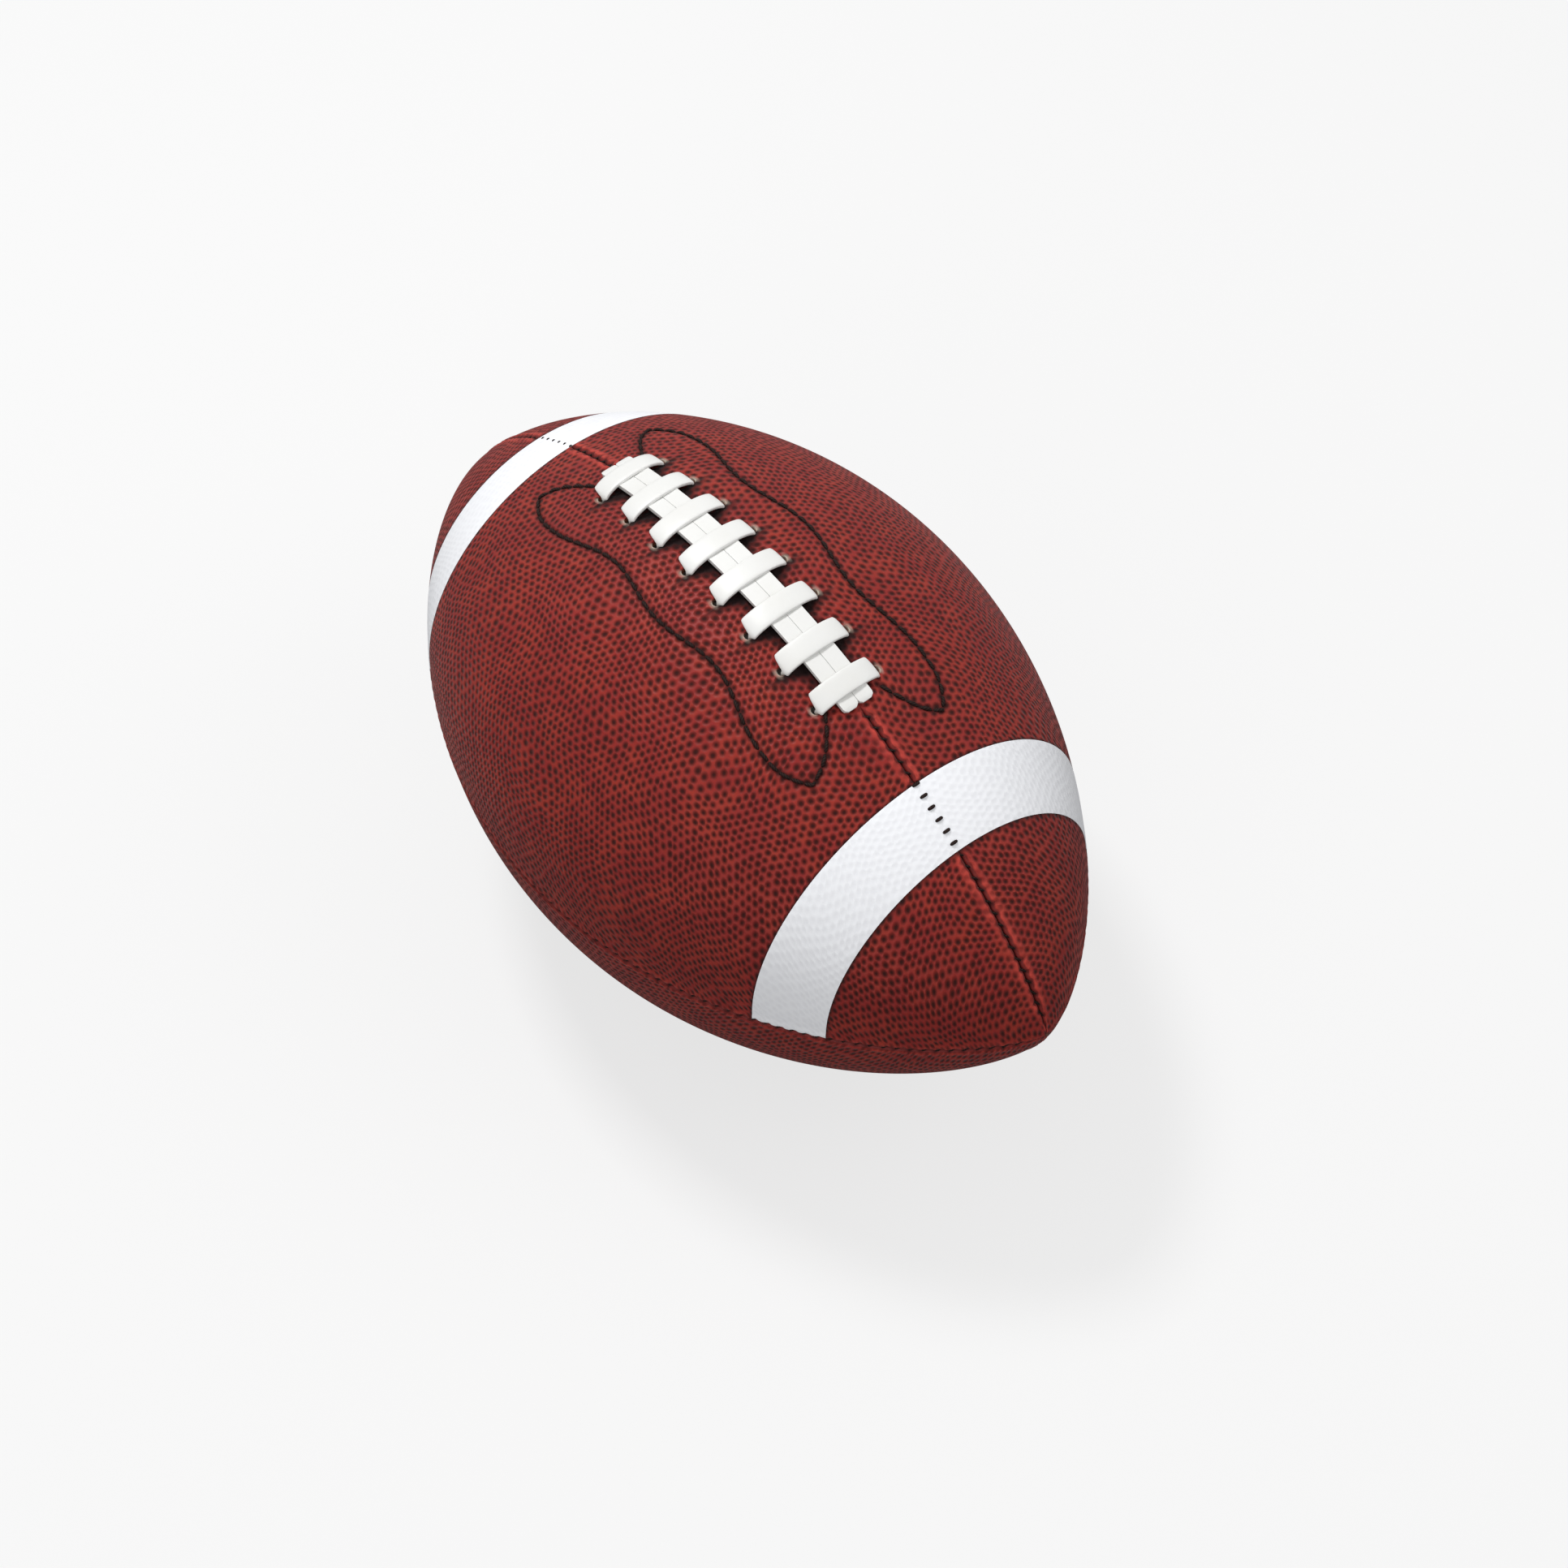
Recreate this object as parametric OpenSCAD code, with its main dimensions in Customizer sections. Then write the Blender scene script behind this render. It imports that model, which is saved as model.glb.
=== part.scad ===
// American football: four sewn leather panels round an inflated bladder, laced shut along the top.
// The long axis lies along X, the lacing is on top, left is +Y, and the ball stands on z = 0.

/* [Ball] */
// Length from nose to nose
ball_length = 284; // [240:1:290]
// Diameter round the belly, halfway along
belly_diameter = 170; // [150:1:180]
// Shape of the outline towards the noses: a lower power is fuller
outline_power = 0.72; // [0.65:0.01:0.8]

/* [Cover] */
// Thickness of the leather
cover_thickness = 2; // [1.6:0.1:2.4]
// How far the seam allowance reaches in from the outer face
seam_allowance = 5.5; // [5:0.1:6.5]
// Gap between two panels where they are sewn face to face
seam_gap = 0.2; // [0.1:0.05:0.4]
// Width of the crease along a seam
crease_width = 1.8; // [1.2:0.1:2.6]
// Depth of the crease along a seam
crease_depth = 1.2; // [0.9:0.1:1.4]
// Thickness of the sewing thread
thread_thickness = 0.7; // [0.4:0.1:0.8]

/* [Lining] */
// Thickness of the fabric lining behind each panel
lining_thickness = 1.2; // [0.8:0.1:1.6]

/* [Stripes] */
// Distance along the ball's axis from a nose to the outer edge of its stripe
stripe_nose_distance = 40; // [34:1:46]
// Width of a stripe, measured along the ball's axis
stripe_width = 19; // [12:1:24]
// Thickness of the white film of a stripe
stripe_film = 0.4; // [0.3:0.05:0.6]

/* [Lacing] */
// Number of cross laces
cross_lace_count = 8; // [6:1:8]
// Distance from one cross lace to the next, along the ball's axis
cross_lace_pitch = 14.6; // [12:0.1:15]
// Width of a cross lace
cross_lace_width = 7.2; // [5:0.1:9]
// Distance between the left and the right hole of a cross lace
lace_hole_spacing = 24; // [22:0.5:28]
// Diameter of a punched lace hole
lace_hole_diameter = 4.6; // [4.2:0.1:5.4]
// Thickness of the flat lace
lace_thickness = 1.8; // [1.2:0.1:2.4]
// Length over which a cross lace rounds off towards each of its holes
lace_tip_length = 3.4; // [2.4:0.1:4]
// Diameter to which the lace gathers where it goes into a hole
lace_leg_diameter = 2.8; // [2.2:0.1:3.2]
// Width of one lengthwise strand
strand_width = 5.3; // [4:0.1:6]
// How far the strands run on past the last cross laces
strand_tail = 5; // [2:0.5:6]

/* [Lace opening] */
// How far the slit runs on past the last cross laces
slit_margin = 10; // [8:0.5:14]
// Thickness of the facing sewn behind the lace holes
facing_thickness = 1; // [0.6:0.1:1.6]
// Thickness of the tongue under the slit
tongue_thickness = 1; // [0.6:0.1:1.6]
// Gap on each side between the tongue and the lace inside the ball
tongue_side_gap = 0.6; // [0.4:0.1:3]

/* [Contour stitching] */
// Mean distance of the stitched line from the top seam
contour_distance = 26.2; // [24:0.1:30]
// How far the line waves to either side of that
contour_wave = 2; // [0:0.1:3]
// Length of one wave
contour_wave_length = 52; // [44:1:60]
// Where the pointed corners lie past the last cross laces
contour_corner_reach = 19; // [14:0.5:24]
// Distance of the pointed corners from the top seam
contour_corner_distance = 21.5; // [18:0.5:24]
// Distance from the top seam at which the line ends beside the last cross laces
contour_end_distance = 11; // [8:0.5:13]
// Length of one stitch, with its gap
stitch_pitch = 4; // [3:0.1:6]
// Gap between two stitches
stitch_gap = 0.8; // [0.4:0.1:1.2]

/* [Bladder and valve] */
// Thickness of the rubber bladder
bladder_wall = 1.2; // [0.8:0.1:2]
// Diameter of the needle channel in the valve
needle_diameter = 2.2; // [2:0.05:2.4]
// Depth of the needle channel
needle_depth = 12; // [8:0.5:13]
// Diameter of the rubber plug in the valve
plug_diameter = 4.4; // [3.6:0.1:5]
// Diameter of the valve's stem
stem_diameter = 7; // [6:0.1:9]
// Length of the valve
valve_length = 16; // [15:0.5:22]
// Diameter of the valve's base inside the bladder
valve_base_diameter = 18; // [14:0.5:24]
// Thickness of the valve's base
valve_base_thickness = 1.6; // [1:0.1:2.4]
// Diameter of the patch behind the valve hole
patch_diameter = 28; // [20:1:36]
// Turn of the valve away from the bottom seam, in degrees
valve_turn = 45; // [25:1:65]

/* [Hidden] */

// Colours
leather_colour = [0.5, 0.16, 0.14];
lining_colour = [0.82, 0.78, 0.7];
stripe_colour = [0.9, 0.91, 0.93];
lace_colour = [0.96, 0.96, 0.94];
thread_colour = [0.08, 0.06, 0.06];
tongue_colour = [0.32, 0.12, 0.1];
bladder_colour = [0.12, 0.12, 0.13];
rubber_colour = [0.2, 0.2, 0.2];

// Clearances
layer_gap = 0.1;
film_clearance = 0.05;
thread_clearance = 0.05;
lace_lift = 0.15;
lace_hole_clearance = 0.25;
lace_bite = 0.1;
bladder_clearance = 0.3;
stem_clearance = 0.25;
plug_clearance = 0.05;
valve_recess = 0.4;
plug_recess = 0.2;
strand_gap = 0.2;
tongue_end_gap = 1;
facing_margin = 2.5;

// Reach of a cut past what it cuts
overrun = 2;

// Steps of the curves
round_steps = 120;
small_round_steps = 32;
outline_steps = 45;
stripe_steps = 4;
staple_steps = 16;
lace_tip_steps = 8;
contour_end_steps = 4;

// Shares: how much a layer draws in at the noses for each unit of depth, and how near the
// noses the seam threads come, as a turn along the outline out of 90 degrees
nose_draw_share = 1.2;
thread_reach_share = 0.89;
// Bulge of the line from a pointed corner back to the lacing, as a share of its length
contour_bulge_share = 0.12;

// Main sizes of the ball
half_length = ball_length / 2;
belly_radius = belly_diameter / 2;
reach = half_length + belly_radius;

// Depth of each layer below the outer face
lining_depth = cover_thickness + layer_gap;
facing_depth = lining_depth + lining_thickness + layer_gap;
tongue_depth = facing_depth + facing_thickness + layer_gap;
tongue_floor = tongue_depth + tongue_thickness;
bladder_depth = max(seam_allowance, tongue_floor) + bladder_clearance;
bladder_floor = bladder_depth + bladder_wall;

// Half the width that the two sewn edges of a seam take up
seam_half_width = seam_gap / 2 + cover_thickness;
// Distance from the ball's middle to the inner edge of a stripe
stripe_start = half_length - stripe_nose_distance - stripe_width;
// The crease's edges are the lowest part of the ball
axis_height = sqrt(pow(belly_radius, 2) - pow(crease_width / 2, 2));

// Places along the lacing
lacing_half_length = (cross_lace_count - 1) * cross_lace_pitch / 2;
strand_half_length = lacing_half_length + cross_lace_width / 2 + strand_tail;
slit_half_length = lacing_half_length + slit_margin;
lacing_half_width = strand_gap / 2 + strand_width;

// The lace goes down along the inner side of each hole
lace_leg_radius = lace_leg_diameter / 2;
lace_leg_inset = lace_hole_diameter / 2 - lace_leg_radius - lace_hole_clearance;
lace_hole_angle = asin(lace_hole_spacing / 2 / belly_radius);
lace_leg_angle = asin((lace_hole_spacing / 2 - lace_leg_inset) / belly_radius);
tongue_half_width = layer_radius(tongue_floor) * sin(lace_leg_angle) - lace_leg_radius - tongue_side_gap;

// Places along the contour stitching
contour_run_half_length = lacing_half_length + cross_lace_width / 2 + strand_tail / 2;
contour_corner_x = lacing_half_length + contour_corner_reach;

// Places along the valve's axis, from the ball's axis outwards
valve_top = belly_radius - valve_recess;
valve_bottom = valve_top - valve_length;
plug_top = valve_top - plug_recess;
stem_hole_radius = stem_diameter / 2 + stem_clearance;
bladder_inside = belly_radius - bladder_floor;

// Outline of the ball, or of a layer below or above its outer face
function layer_half_length(depth) = half_length - depth * nose_draw_share;
function layer_radius(depth) = belly_radius - depth;
function outline_radius(x, depth = 0) =
    layer_radius(depth) * pow(1 - pow(x / layer_half_length(depth), 2), outline_power);
function outline_slope(x) =
    let (u = x / half_length)
    atan(-2 * outline_power * u * pow(1 - u * u, outline_power - 1) * belly_radius / half_length);

// Points [x, radius] from nose to nose, or as far as a smaller turn reaches
function outline_points(depth, turn = 90) = [
    for (i = [0 : outline_steps])
        let (a = turn * (2 * i / outline_steps - 1))
        [layer_half_length(depth) * sin(a), layer_radius(depth) * pow(cos(a), 2 * outline_power)]
];
// Points [x, radius] between two places along the axis
function stretch_points(depth, x0, x1, steps) = [
    for (i = [0 : steps])
        let (x = x0 + (x1 - x0) * i / steps)
        [x, outline_radius(x, depth)]
];
function reversed(points) = [for (i = [len(points) - 1 : -1 : 0]) points[i]];
function swapped(points) = [for (p = points) [p[1], p[0]]];
// The band between two layers
function layer_band(outer, inner, turn = 90) =
    concat(outline_points(outer, turn), reversed(outline_points(inner, turn)));
function stretch_band(outer, inner, x0, x1, steps) =
    concat(stretch_points(outer, x0, x1, steps), reversed(stretch_points(inner, x0, x1, steps)));

// A point of the outer face at x and at a distance s round it from the top seam
function face_point(x, s, lift) =
    let (r = outline_radius(x), turn = s / r * 180 / PI)
    [x, (r + lift) * sin(turn), (r + lift) * cos(turn)];

// Distance of the contour stitching from the top seam along its waving run
function contour_run(x) = contour_distance + contour_wave * cos(360 * x / contour_wave_length);
// Points [x, s] of the wavy run, of the curve out to a corner, and of the line back to the lacing
function contour_run_points() =
    let (steps = round(2 * contour_run_half_length / stitch_pitch))
    [
        for (i = [0 : steps])
            let (x = contour_run_half_length * (2 * i / steps - 1))
            [x, contour_run(x)]
    ];
function contour_corner_points(margin) = [
    for (i = [1 : contour_end_steps])
        let (
            t = i / contour_end_steps,
            start = contour_run(contour_run_half_length)
        )
        [
            contour_run_half_length + (contour_corner_x + margin - contour_run_half_length) * t,
            start + (contour_corner_distance - start) * t * t
        ]
];
function contour_return_points() =
    let (
        dx = contour_corner_x - contour_run_half_length,
        ds = contour_corner_distance - contour_end_distance
    )
    [
        for (i = [1 : contour_end_steps])
            let (t = i / contour_end_steps)
            [
                contour_corner_x - dx * t + contour_bulge_share * (dx + ds) * sin(180 * t),
                contour_corner_distance - ds * t
            ]
    ];
function mirrored(points) = [for (p = reversed(points)) [-p[0], p[1]]];
function contour_line() =
    let (end = concat(contour_corner_points(0), contour_return_points()))
    concat(mirrored(end), contour_run_points(), end);

// Section of a cross lace: up over the strands and down to a hole on each side
function staple_fall(y, half_span) =
    let (t = max(0, min(1, (abs(y) - lacing_half_width) / (half_span - lacing_half_width))))
    1 - t * t * (3 - 2 * t);
function staple_curve(radius, half_span, height) = [
    for (i = [0 : staple_steps])
        let (y = half_span * (2 * i / staple_steps - 1))
        [
            y,
            sqrt(radius * radius - y * y) - radius + lace_lift + height
                + (lace_thickness - lace_bite) * staple_fall(y, half_span)
        ]
];

// Outline of a cross lace seen from above, with a round tip at each end
function lace_tip(half_span) = [
    for (i = [0 : lace_tip_steps])
        let (a = 180 * i / lace_tip_steps)
        [cross_lace_width / 2 * cos(a), half_span - lace_tip_length + lace_tip_length * sin(a)]
];
function cross_lace_plan(half_span) =
    let (tip = lace_tip(half_span))
    concat(tip, [for (p = tip) -p]);

// A solid of revolution round the ball's axis from points [x, radius]
module revolved(points) {
    rotate([0, 90, 0])
        rotate_extrude($fn = round_steps)
            polygon(swapped(points));
}

module layer_shell(outer, inner) {
    revolved(layer_band(outer, inner));
}

// Everything that lies in the quarter above the side seam and left of the top seam
module quarter(inset) {
    translate([-reach, inset, inset])
        cube([2 * reach, reach, reach]);
}

// A plate in the plane of the top seam, from an outline [x, radius]
module seam_plate(thickness) {
    rotate([90, 0, 0])
        linear_extrude(thickness, center = true)
            children();
}

module flange_shape(open_half_length) {
    difference() {
        polygon(layer_band(cover_thickness / 2, seam_allowance));
        if (open_half_length > 0) {
            translate([-open_half_length, 0])
                square([2 * open_half_length, belly_radius]);
        }
    }
}

module crease_shape() {
    difference() {
        translate([-reach, 0])
            square([2 * reach, reach]);
        polygon(outline_points(crease_depth));
    }
}

// The seam allowance of one edge, turned in along the top seam
module seam_flange(open_half_length) {
    translate([0, seam_gap / 2 + cover_thickness / 2, 0])
        seam_plate(cover_thickness)
            flange_shape(open_half_length);
}

module swap_edges() {
    mirror([0, 1, -1])
        children();
}

// Places each child along the lace holes of one side, with z square to the outer face
module at_lace_holes(angle) {
    for (i = [0 : cross_lace_count - 1]) {
        x = i * cross_lace_pitch - lacing_half_length;
        rotate([-angle, 0, 0])
            translate([x, 0, outline_radius(x)])
                rotate([0, -outline_slope(x), 0])
                    children();
    }
}

module lace_hole_cuts() {
    at_lace_holes(lace_hole_angle)
        translate([0, 0, -tongue_floor])
            cylinder(h = tongue_floor + overrun, d = lace_hole_diameter, $fn = small_round_steps);
}

module stripe_ring(depth, margin, rise) {
    revolved(stretch_band(
        -rise, depth, stripe_start - margin, stripe_start + stripe_width + margin, stripe_steps
    ));
}

// The child's place along the valve's axis, from the ball's axis outwards through the back right panel
module at_valve() {
    rotate([180 - valve_turn, 0, 0])
        children();
}

module valve_hole_cut() {
    at_valve()
        translate([0, 0, bladder_inside - overrun])
            cylinder(h = bladder_floor + 2 * overrun, r = stem_hole_radius, $fn = small_round_steps);
}

// A panel of the cover, above the side seam and left of the top seam
module cover_quarter(open_half_length) {
    color(leather_colour)
        difference() {
            intersection() {
                union() {
                    layer_shell(0, cover_thickness);
                    seam_flange(open_half_length);
                    swap_edges() seam_flange(0);
                }
                quarter(seam_gap / 2);
            }
            seam_plate(crease_width) crease_shape();
            swap_edges() seam_plate(crease_width) crease_shape();
        }
}

module lace_panel() {
    color(leather_colour)
        difference() {
            cover_quarter(slit_half_length);
            lace_hole_cuts();
            for (end = [0, 1]) {
                mirror([end, 0, 0])
                    stripe_ring(stripe_film + film_clearance, film_clearance, overrun);
            }
        }
}

module lining_quarter() {
    color(lining_colour)
        intersection() {
            layer_shell(lining_depth, lining_depth + lining_thickness);
            quarter(seam_half_width + layer_gap);
        }
}

module lace_lining() {
    color(lining_colour)
        difference() {
            lining_quarter();
            lace_hole_cuts();
        }
}

module stripe_quarter() {
    color(stripe_colour)
        intersection() {
            stripe_ring(stripe_film, 0, 0);
            quarter(crease_width / 2);
        }
}

// Outline of the facing seen from above, from the slit's edge out to the contour stitching
module facing_plan() {
    corner = contour_corner_points(facing_margin);
    edge = concat(mirrored(corner), contour_run_points(), corner);
    inner_y = seam_half_width + layer_gap;
    end_x = contour_corner_x + facing_margin;
    polygon(concat(
        [[end_x, inner_y], [-end_x, inner_y]],
        [for (p = edge) [p[0], face_point(p[0], p[1] + facing_margin, 0)[1]]]
    ));
}

module facing_quarter() {
    color(lining_colour)
        difference() {
            intersection() {
                layer_shell(facing_depth, facing_depth + facing_thickness);
                linear_extrude(reach) facing_plan();
            }
            lace_hole_cuts();
        }
}

module lace_tongue() {
    color(tongue_colour)
        translate([0, 0, axis_height])
            intersection() {
                layer_shell(tongue_depth, tongue_floor);
                translate([-slit_half_length + tongue_end_gap, -tongue_half_width, 0])
                    cube([2 * (slit_half_length - tongue_end_gap), 2 * tongue_half_width, reach]);
            }
}

module cross_lace(x) {
    radius = outline_radius(x) / cos(outline_slope(x));
    half_span = radius * sin(lace_leg_angle) + lace_leg_radius;
    section = concat(
        staple_curve(radius, half_span, 0),
        reversed(staple_curve(radius, half_span, lace_thickness))
    );
    translate([x, 0, outline_radius(x)])
        rotate([0, -outline_slope(x), 0])
            intersection() {
                rotate([90, 0, 90])
                    linear_extrude(cross_lace_width, center = true)
                        polygon(section);
                linear_extrude(belly_radius, center = true)
                    polygon(cross_lace_plan(half_span));
            }
}

// One lengthwise strand under the cross laces, left of the top seam
module outer_strand() {
    translate([0, strand_gap / 2 + strand_width / 2, 0])
        seam_plate(strand_width)
            polygon(stretch_band(
                -lace_lift - lace_thickness, -lace_lift,
                -strand_half_length, strand_half_length, outline_steps
            ));
}

// The run of lace inside the ball that joins the ends of the cross laces of one side
module inner_run() {
    run_half_length = lacing_half_length + lace_leg_radius;
    rotate([-lace_leg_angle, 0, 0])
        seam_plate(lace_leg_diameter)
            polygon(stretch_band(
                tongue_depth, tongue_floor, -run_half_length, run_half_length, outline_steps
            ));
}

module lace_side() {
    leg_length = lace_lift + lace_thickness / 2 + (tongue_depth + tongue_floor) / 2;
    outer_strand();
    inner_run();
    at_lace_holes(lace_leg_angle)
        translate([0, 0, lace_lift + lace_thickness / 2 - leg_length])
            cylinder(h = leg_length, r = lace_leg_radius, $fn = small_round_steps);
}

module lace() {
    color(lace_colour)
        translate([0, 0, axis_height]) {
            for (i = [0 : cross_lace_count - 1]) {
                cross_lace(i * cross_lace_pitch - lacing_half_length);
            }
            lace_side();
            mirror([0, 1, 0]) lace_side();
        }
}

// One straight stitch of round thread between two points, short of each by half a gap
module stitch(p, q) {
    d = q - p;
    span = norm(d);
    translate(p)
        rotate([0, acos(d[2] / span), atan2(d[1], d[0])])
            translate([0, 0, stitch_gap / 2])
                cylinder(h = span - stitch_gap, d = thread_thickness, $fn = small_round_steps);
}

module contour_stitch() {
    lift = thread_thickness / 2 + thread_clearance;
    points = [for (p = contour_line()) face_point(p[0], p[1], lift)];
    color(thread_colour)
        for (i = [1 : len(points) - 1]) {
            stitch(points[i - 1], points[i]);
        }
}

// The thread that lies in the crease of a seam, from near one nose to near the other
module seam_thread(open_half_length) {
    floor_depth = crease_depth - thread_clearance;
    color(thread_colour)
        seam_plate(thread_thickness)
            difference() {
                polygon(layer_band(floor_depth - thread_thickness, floor_depth, 90 * thread_reach_share));
                if (open_half_length > 0) {
                    translate([-open_half_length, 0])
                        square([2 * open_half_length, reach]);
                }
            }
}

module bladder() {
    color(bladder_colour)
        translate([0, 0, axis_height])
            difference() {
                layer_shell(bladder_depth, bladder_floor);
                valve_hole_cut();
            }
}

module valve_body() {
    color(rubber_colour)
        translate([0, 0, axis_height])
            difference() {
                union() {
                    at_valve()
                        translate([0, 0, valve_bottom])
                            cylinder(h = valve_length, d = stem_diameter, $fn = small_round_steps);
                    intersection() {
                        at_valve()
                            translate([0, 0, bladder_inside - 2 * valve_base_thickness])
                                cylinder(
                                    h = 2 * valve_base_thickness, d = valve_base_diameter,
                                    $fn = small_round_steps
                                );
                        revolved(outline_points(bladder_floor + layer_gap));
                    }
                }
                at_valve()
                    translate([0, 0, valve_bottom - overrun])
                        cylinder(
                            h = valve_length + 2 * overrun, r = plug_diameter / 2 + plug_clearance,
                            $fn = small_round_steps
                        );
            }
}

module valve_plug() {
    color(rubber_colour)
        translate([0, 0, axis_height])
            at_valve()
                difference() {
                    translate([0, 0, valve_bottom])
                        cylinder(h = plug_top - valve_bottom, d = plug_diameter, $fn = small_round_steps);
                    translate([0, 0, plug_top - needle_depth])
                        cylinder(h = needle_depth + overrun, d = needle_diameter, $fn = small_round_steps);
                }
}

module valve_patch() {
    color(lining_colour)
        translate([0, 0, axis_height])
            difference() {
                intersection() {
                    layer_shell(facing_depth, facing_depth + facing_thickness);
                    at_valve() cylinder(h = reach, d = patch_diameter, $fn = round_steps);
                }
                valve_hole_cut();
            }
}

// Turns a quarter of the ball into its place: back for the lower half, right for the far side
module place(back, right) {
    translate([0, 0, axis_height])
        mirror([0, 0, back ? 1 : 0])
            mirror([0, right ? 1 : 0, 0])
                children();
}

module back_right_panel() {
    color(leather_colour)
        difference() {
            place(true, true) cover_quarter(0);
            translate([0, 0, axis_height]) valve_hole_cut();
        }
}

module back_right_lining() {
    color(lining_colour)
        difference() {
            place(true, true) lining_quarter();
            translate([0, 0, axis_height]) valve_hole_cut();
        }
}

place(false, false) lace_panel();  // cover_panel_lace_left
place(false, true) lace_panel();  // cover_panel_lace_right
place(true, false) cover_quarter(0);  // cover_panel_back_left
back_right_panel();  // cover_panel_back_right
place(false, false) lace_lining();  // lining_lace_left
place(false, true) lace_lining();  // lining_lace_right
place(true, false) lining_quarter();  // lining_back_left
back_right_lining();  // lining_back_right
place(false, false) stripe_quarter();  // stripe_front_left
place(false, true) stripe_quarter();  // stripe_front_right
place(false, false) mirror([1, 0, 0]) stripe_quarter();  // stripe_rear_left
place(false, true) mirror([1, 0, 0]) stripe_quarter();  // stripe_rear_right
place(false, false) facing_quarter();  // lace_facing_left
place(false, true) facing_quarter();  // lace_facing_right
lace_tongue();
lace();
place(false, false) contour_stitch();  // contour_stitch_left
place(false, true) contour_stitch();  // contour_stitch_right
place(false, false) seam_thread(slit_half_length);  // seam_thread_top
place(true, false) seam_thread(0);  // seam_thread_bottom
place(false, false) swap_edges() seam_thread(0);  // seam_thread_left
place(false, true) swap_edges() seam_thread(0);  // seam_thread_right
bladder();
valve_body();
valve_plug();
valve_patch();
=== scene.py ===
"""An american football of sewn leather panels, with white end stripes, a vinyl lace and a needle valve.

The surfaces are built round the ball's construction model, in its frame: +X from nose to nose, +Z up
through the lacing, +Y to the left, in metres. A place on the ball is given by x, by the angle round the
long axis from the top towards the left, and by the height above the leather's outer face.
"""

import math

import bpy
import numpy as np
from bpy.props import FloatProperty, FloatVectorProperty, IntProperty, PointerProperty
from mathutils import Matrix, Vector


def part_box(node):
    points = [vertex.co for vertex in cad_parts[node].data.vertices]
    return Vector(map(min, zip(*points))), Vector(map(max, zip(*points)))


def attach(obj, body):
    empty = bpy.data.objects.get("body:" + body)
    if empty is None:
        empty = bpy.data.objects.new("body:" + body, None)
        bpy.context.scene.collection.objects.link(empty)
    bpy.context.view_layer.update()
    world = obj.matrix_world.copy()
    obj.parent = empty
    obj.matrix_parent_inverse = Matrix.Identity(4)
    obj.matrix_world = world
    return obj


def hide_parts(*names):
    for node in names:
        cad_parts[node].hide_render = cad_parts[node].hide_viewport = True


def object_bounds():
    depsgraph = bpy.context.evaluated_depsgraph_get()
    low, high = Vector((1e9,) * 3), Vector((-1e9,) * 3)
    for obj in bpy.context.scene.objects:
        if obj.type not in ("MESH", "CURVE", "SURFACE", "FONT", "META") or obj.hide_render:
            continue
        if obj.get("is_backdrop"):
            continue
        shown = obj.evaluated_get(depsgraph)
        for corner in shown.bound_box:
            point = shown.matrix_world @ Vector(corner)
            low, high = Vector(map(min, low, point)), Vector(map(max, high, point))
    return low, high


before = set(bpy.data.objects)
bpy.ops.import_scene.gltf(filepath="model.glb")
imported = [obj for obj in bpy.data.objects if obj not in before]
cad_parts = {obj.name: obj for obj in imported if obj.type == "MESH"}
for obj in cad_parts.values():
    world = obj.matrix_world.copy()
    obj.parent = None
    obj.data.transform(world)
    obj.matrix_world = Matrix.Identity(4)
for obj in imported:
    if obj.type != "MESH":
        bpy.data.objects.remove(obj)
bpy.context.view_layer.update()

bl_info = {
    "name": "American Football",
    "version": (1, 0, 0),
    "blender": (4, 5, 0),
    "location": "3D View > Sidebar > Football",
    "description": "Builds the leather, lace, stitching and valve of an american football",
    "category": "Object",
}

MM = 0.001
QUARTER_TURN = math.pi / 2
SIDES = (("left", False), ("right", True))

side_thread_low, side_thread_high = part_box("seam_thread_left")
AXIS_HEIGHT = (side_thread_low.z + side_thread_high.z) / 2


def length_property(name, description, millimetres):
    """A length of the ball, given in millimetres and kept in metres."""
    return FloatProperty(
        name=name, description=description, default=millimetres * MM, min=0.0, precision=5, unit="LENGTH"
    )


def colour_property(name, description, colour):
    """A surface colour as linear red, green and blue."""
    return FloatVectorProperty(
        name=name, description=description, default=colour, min=0.0, max=1.0, size=3, subtype="COLOR"
    )


def power_property(name, description, watts):
    """A lamp's power in watts."""
    return FloatProperty(name=name, description=description, default=watts, min=0.0, unit="POWER")


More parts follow.
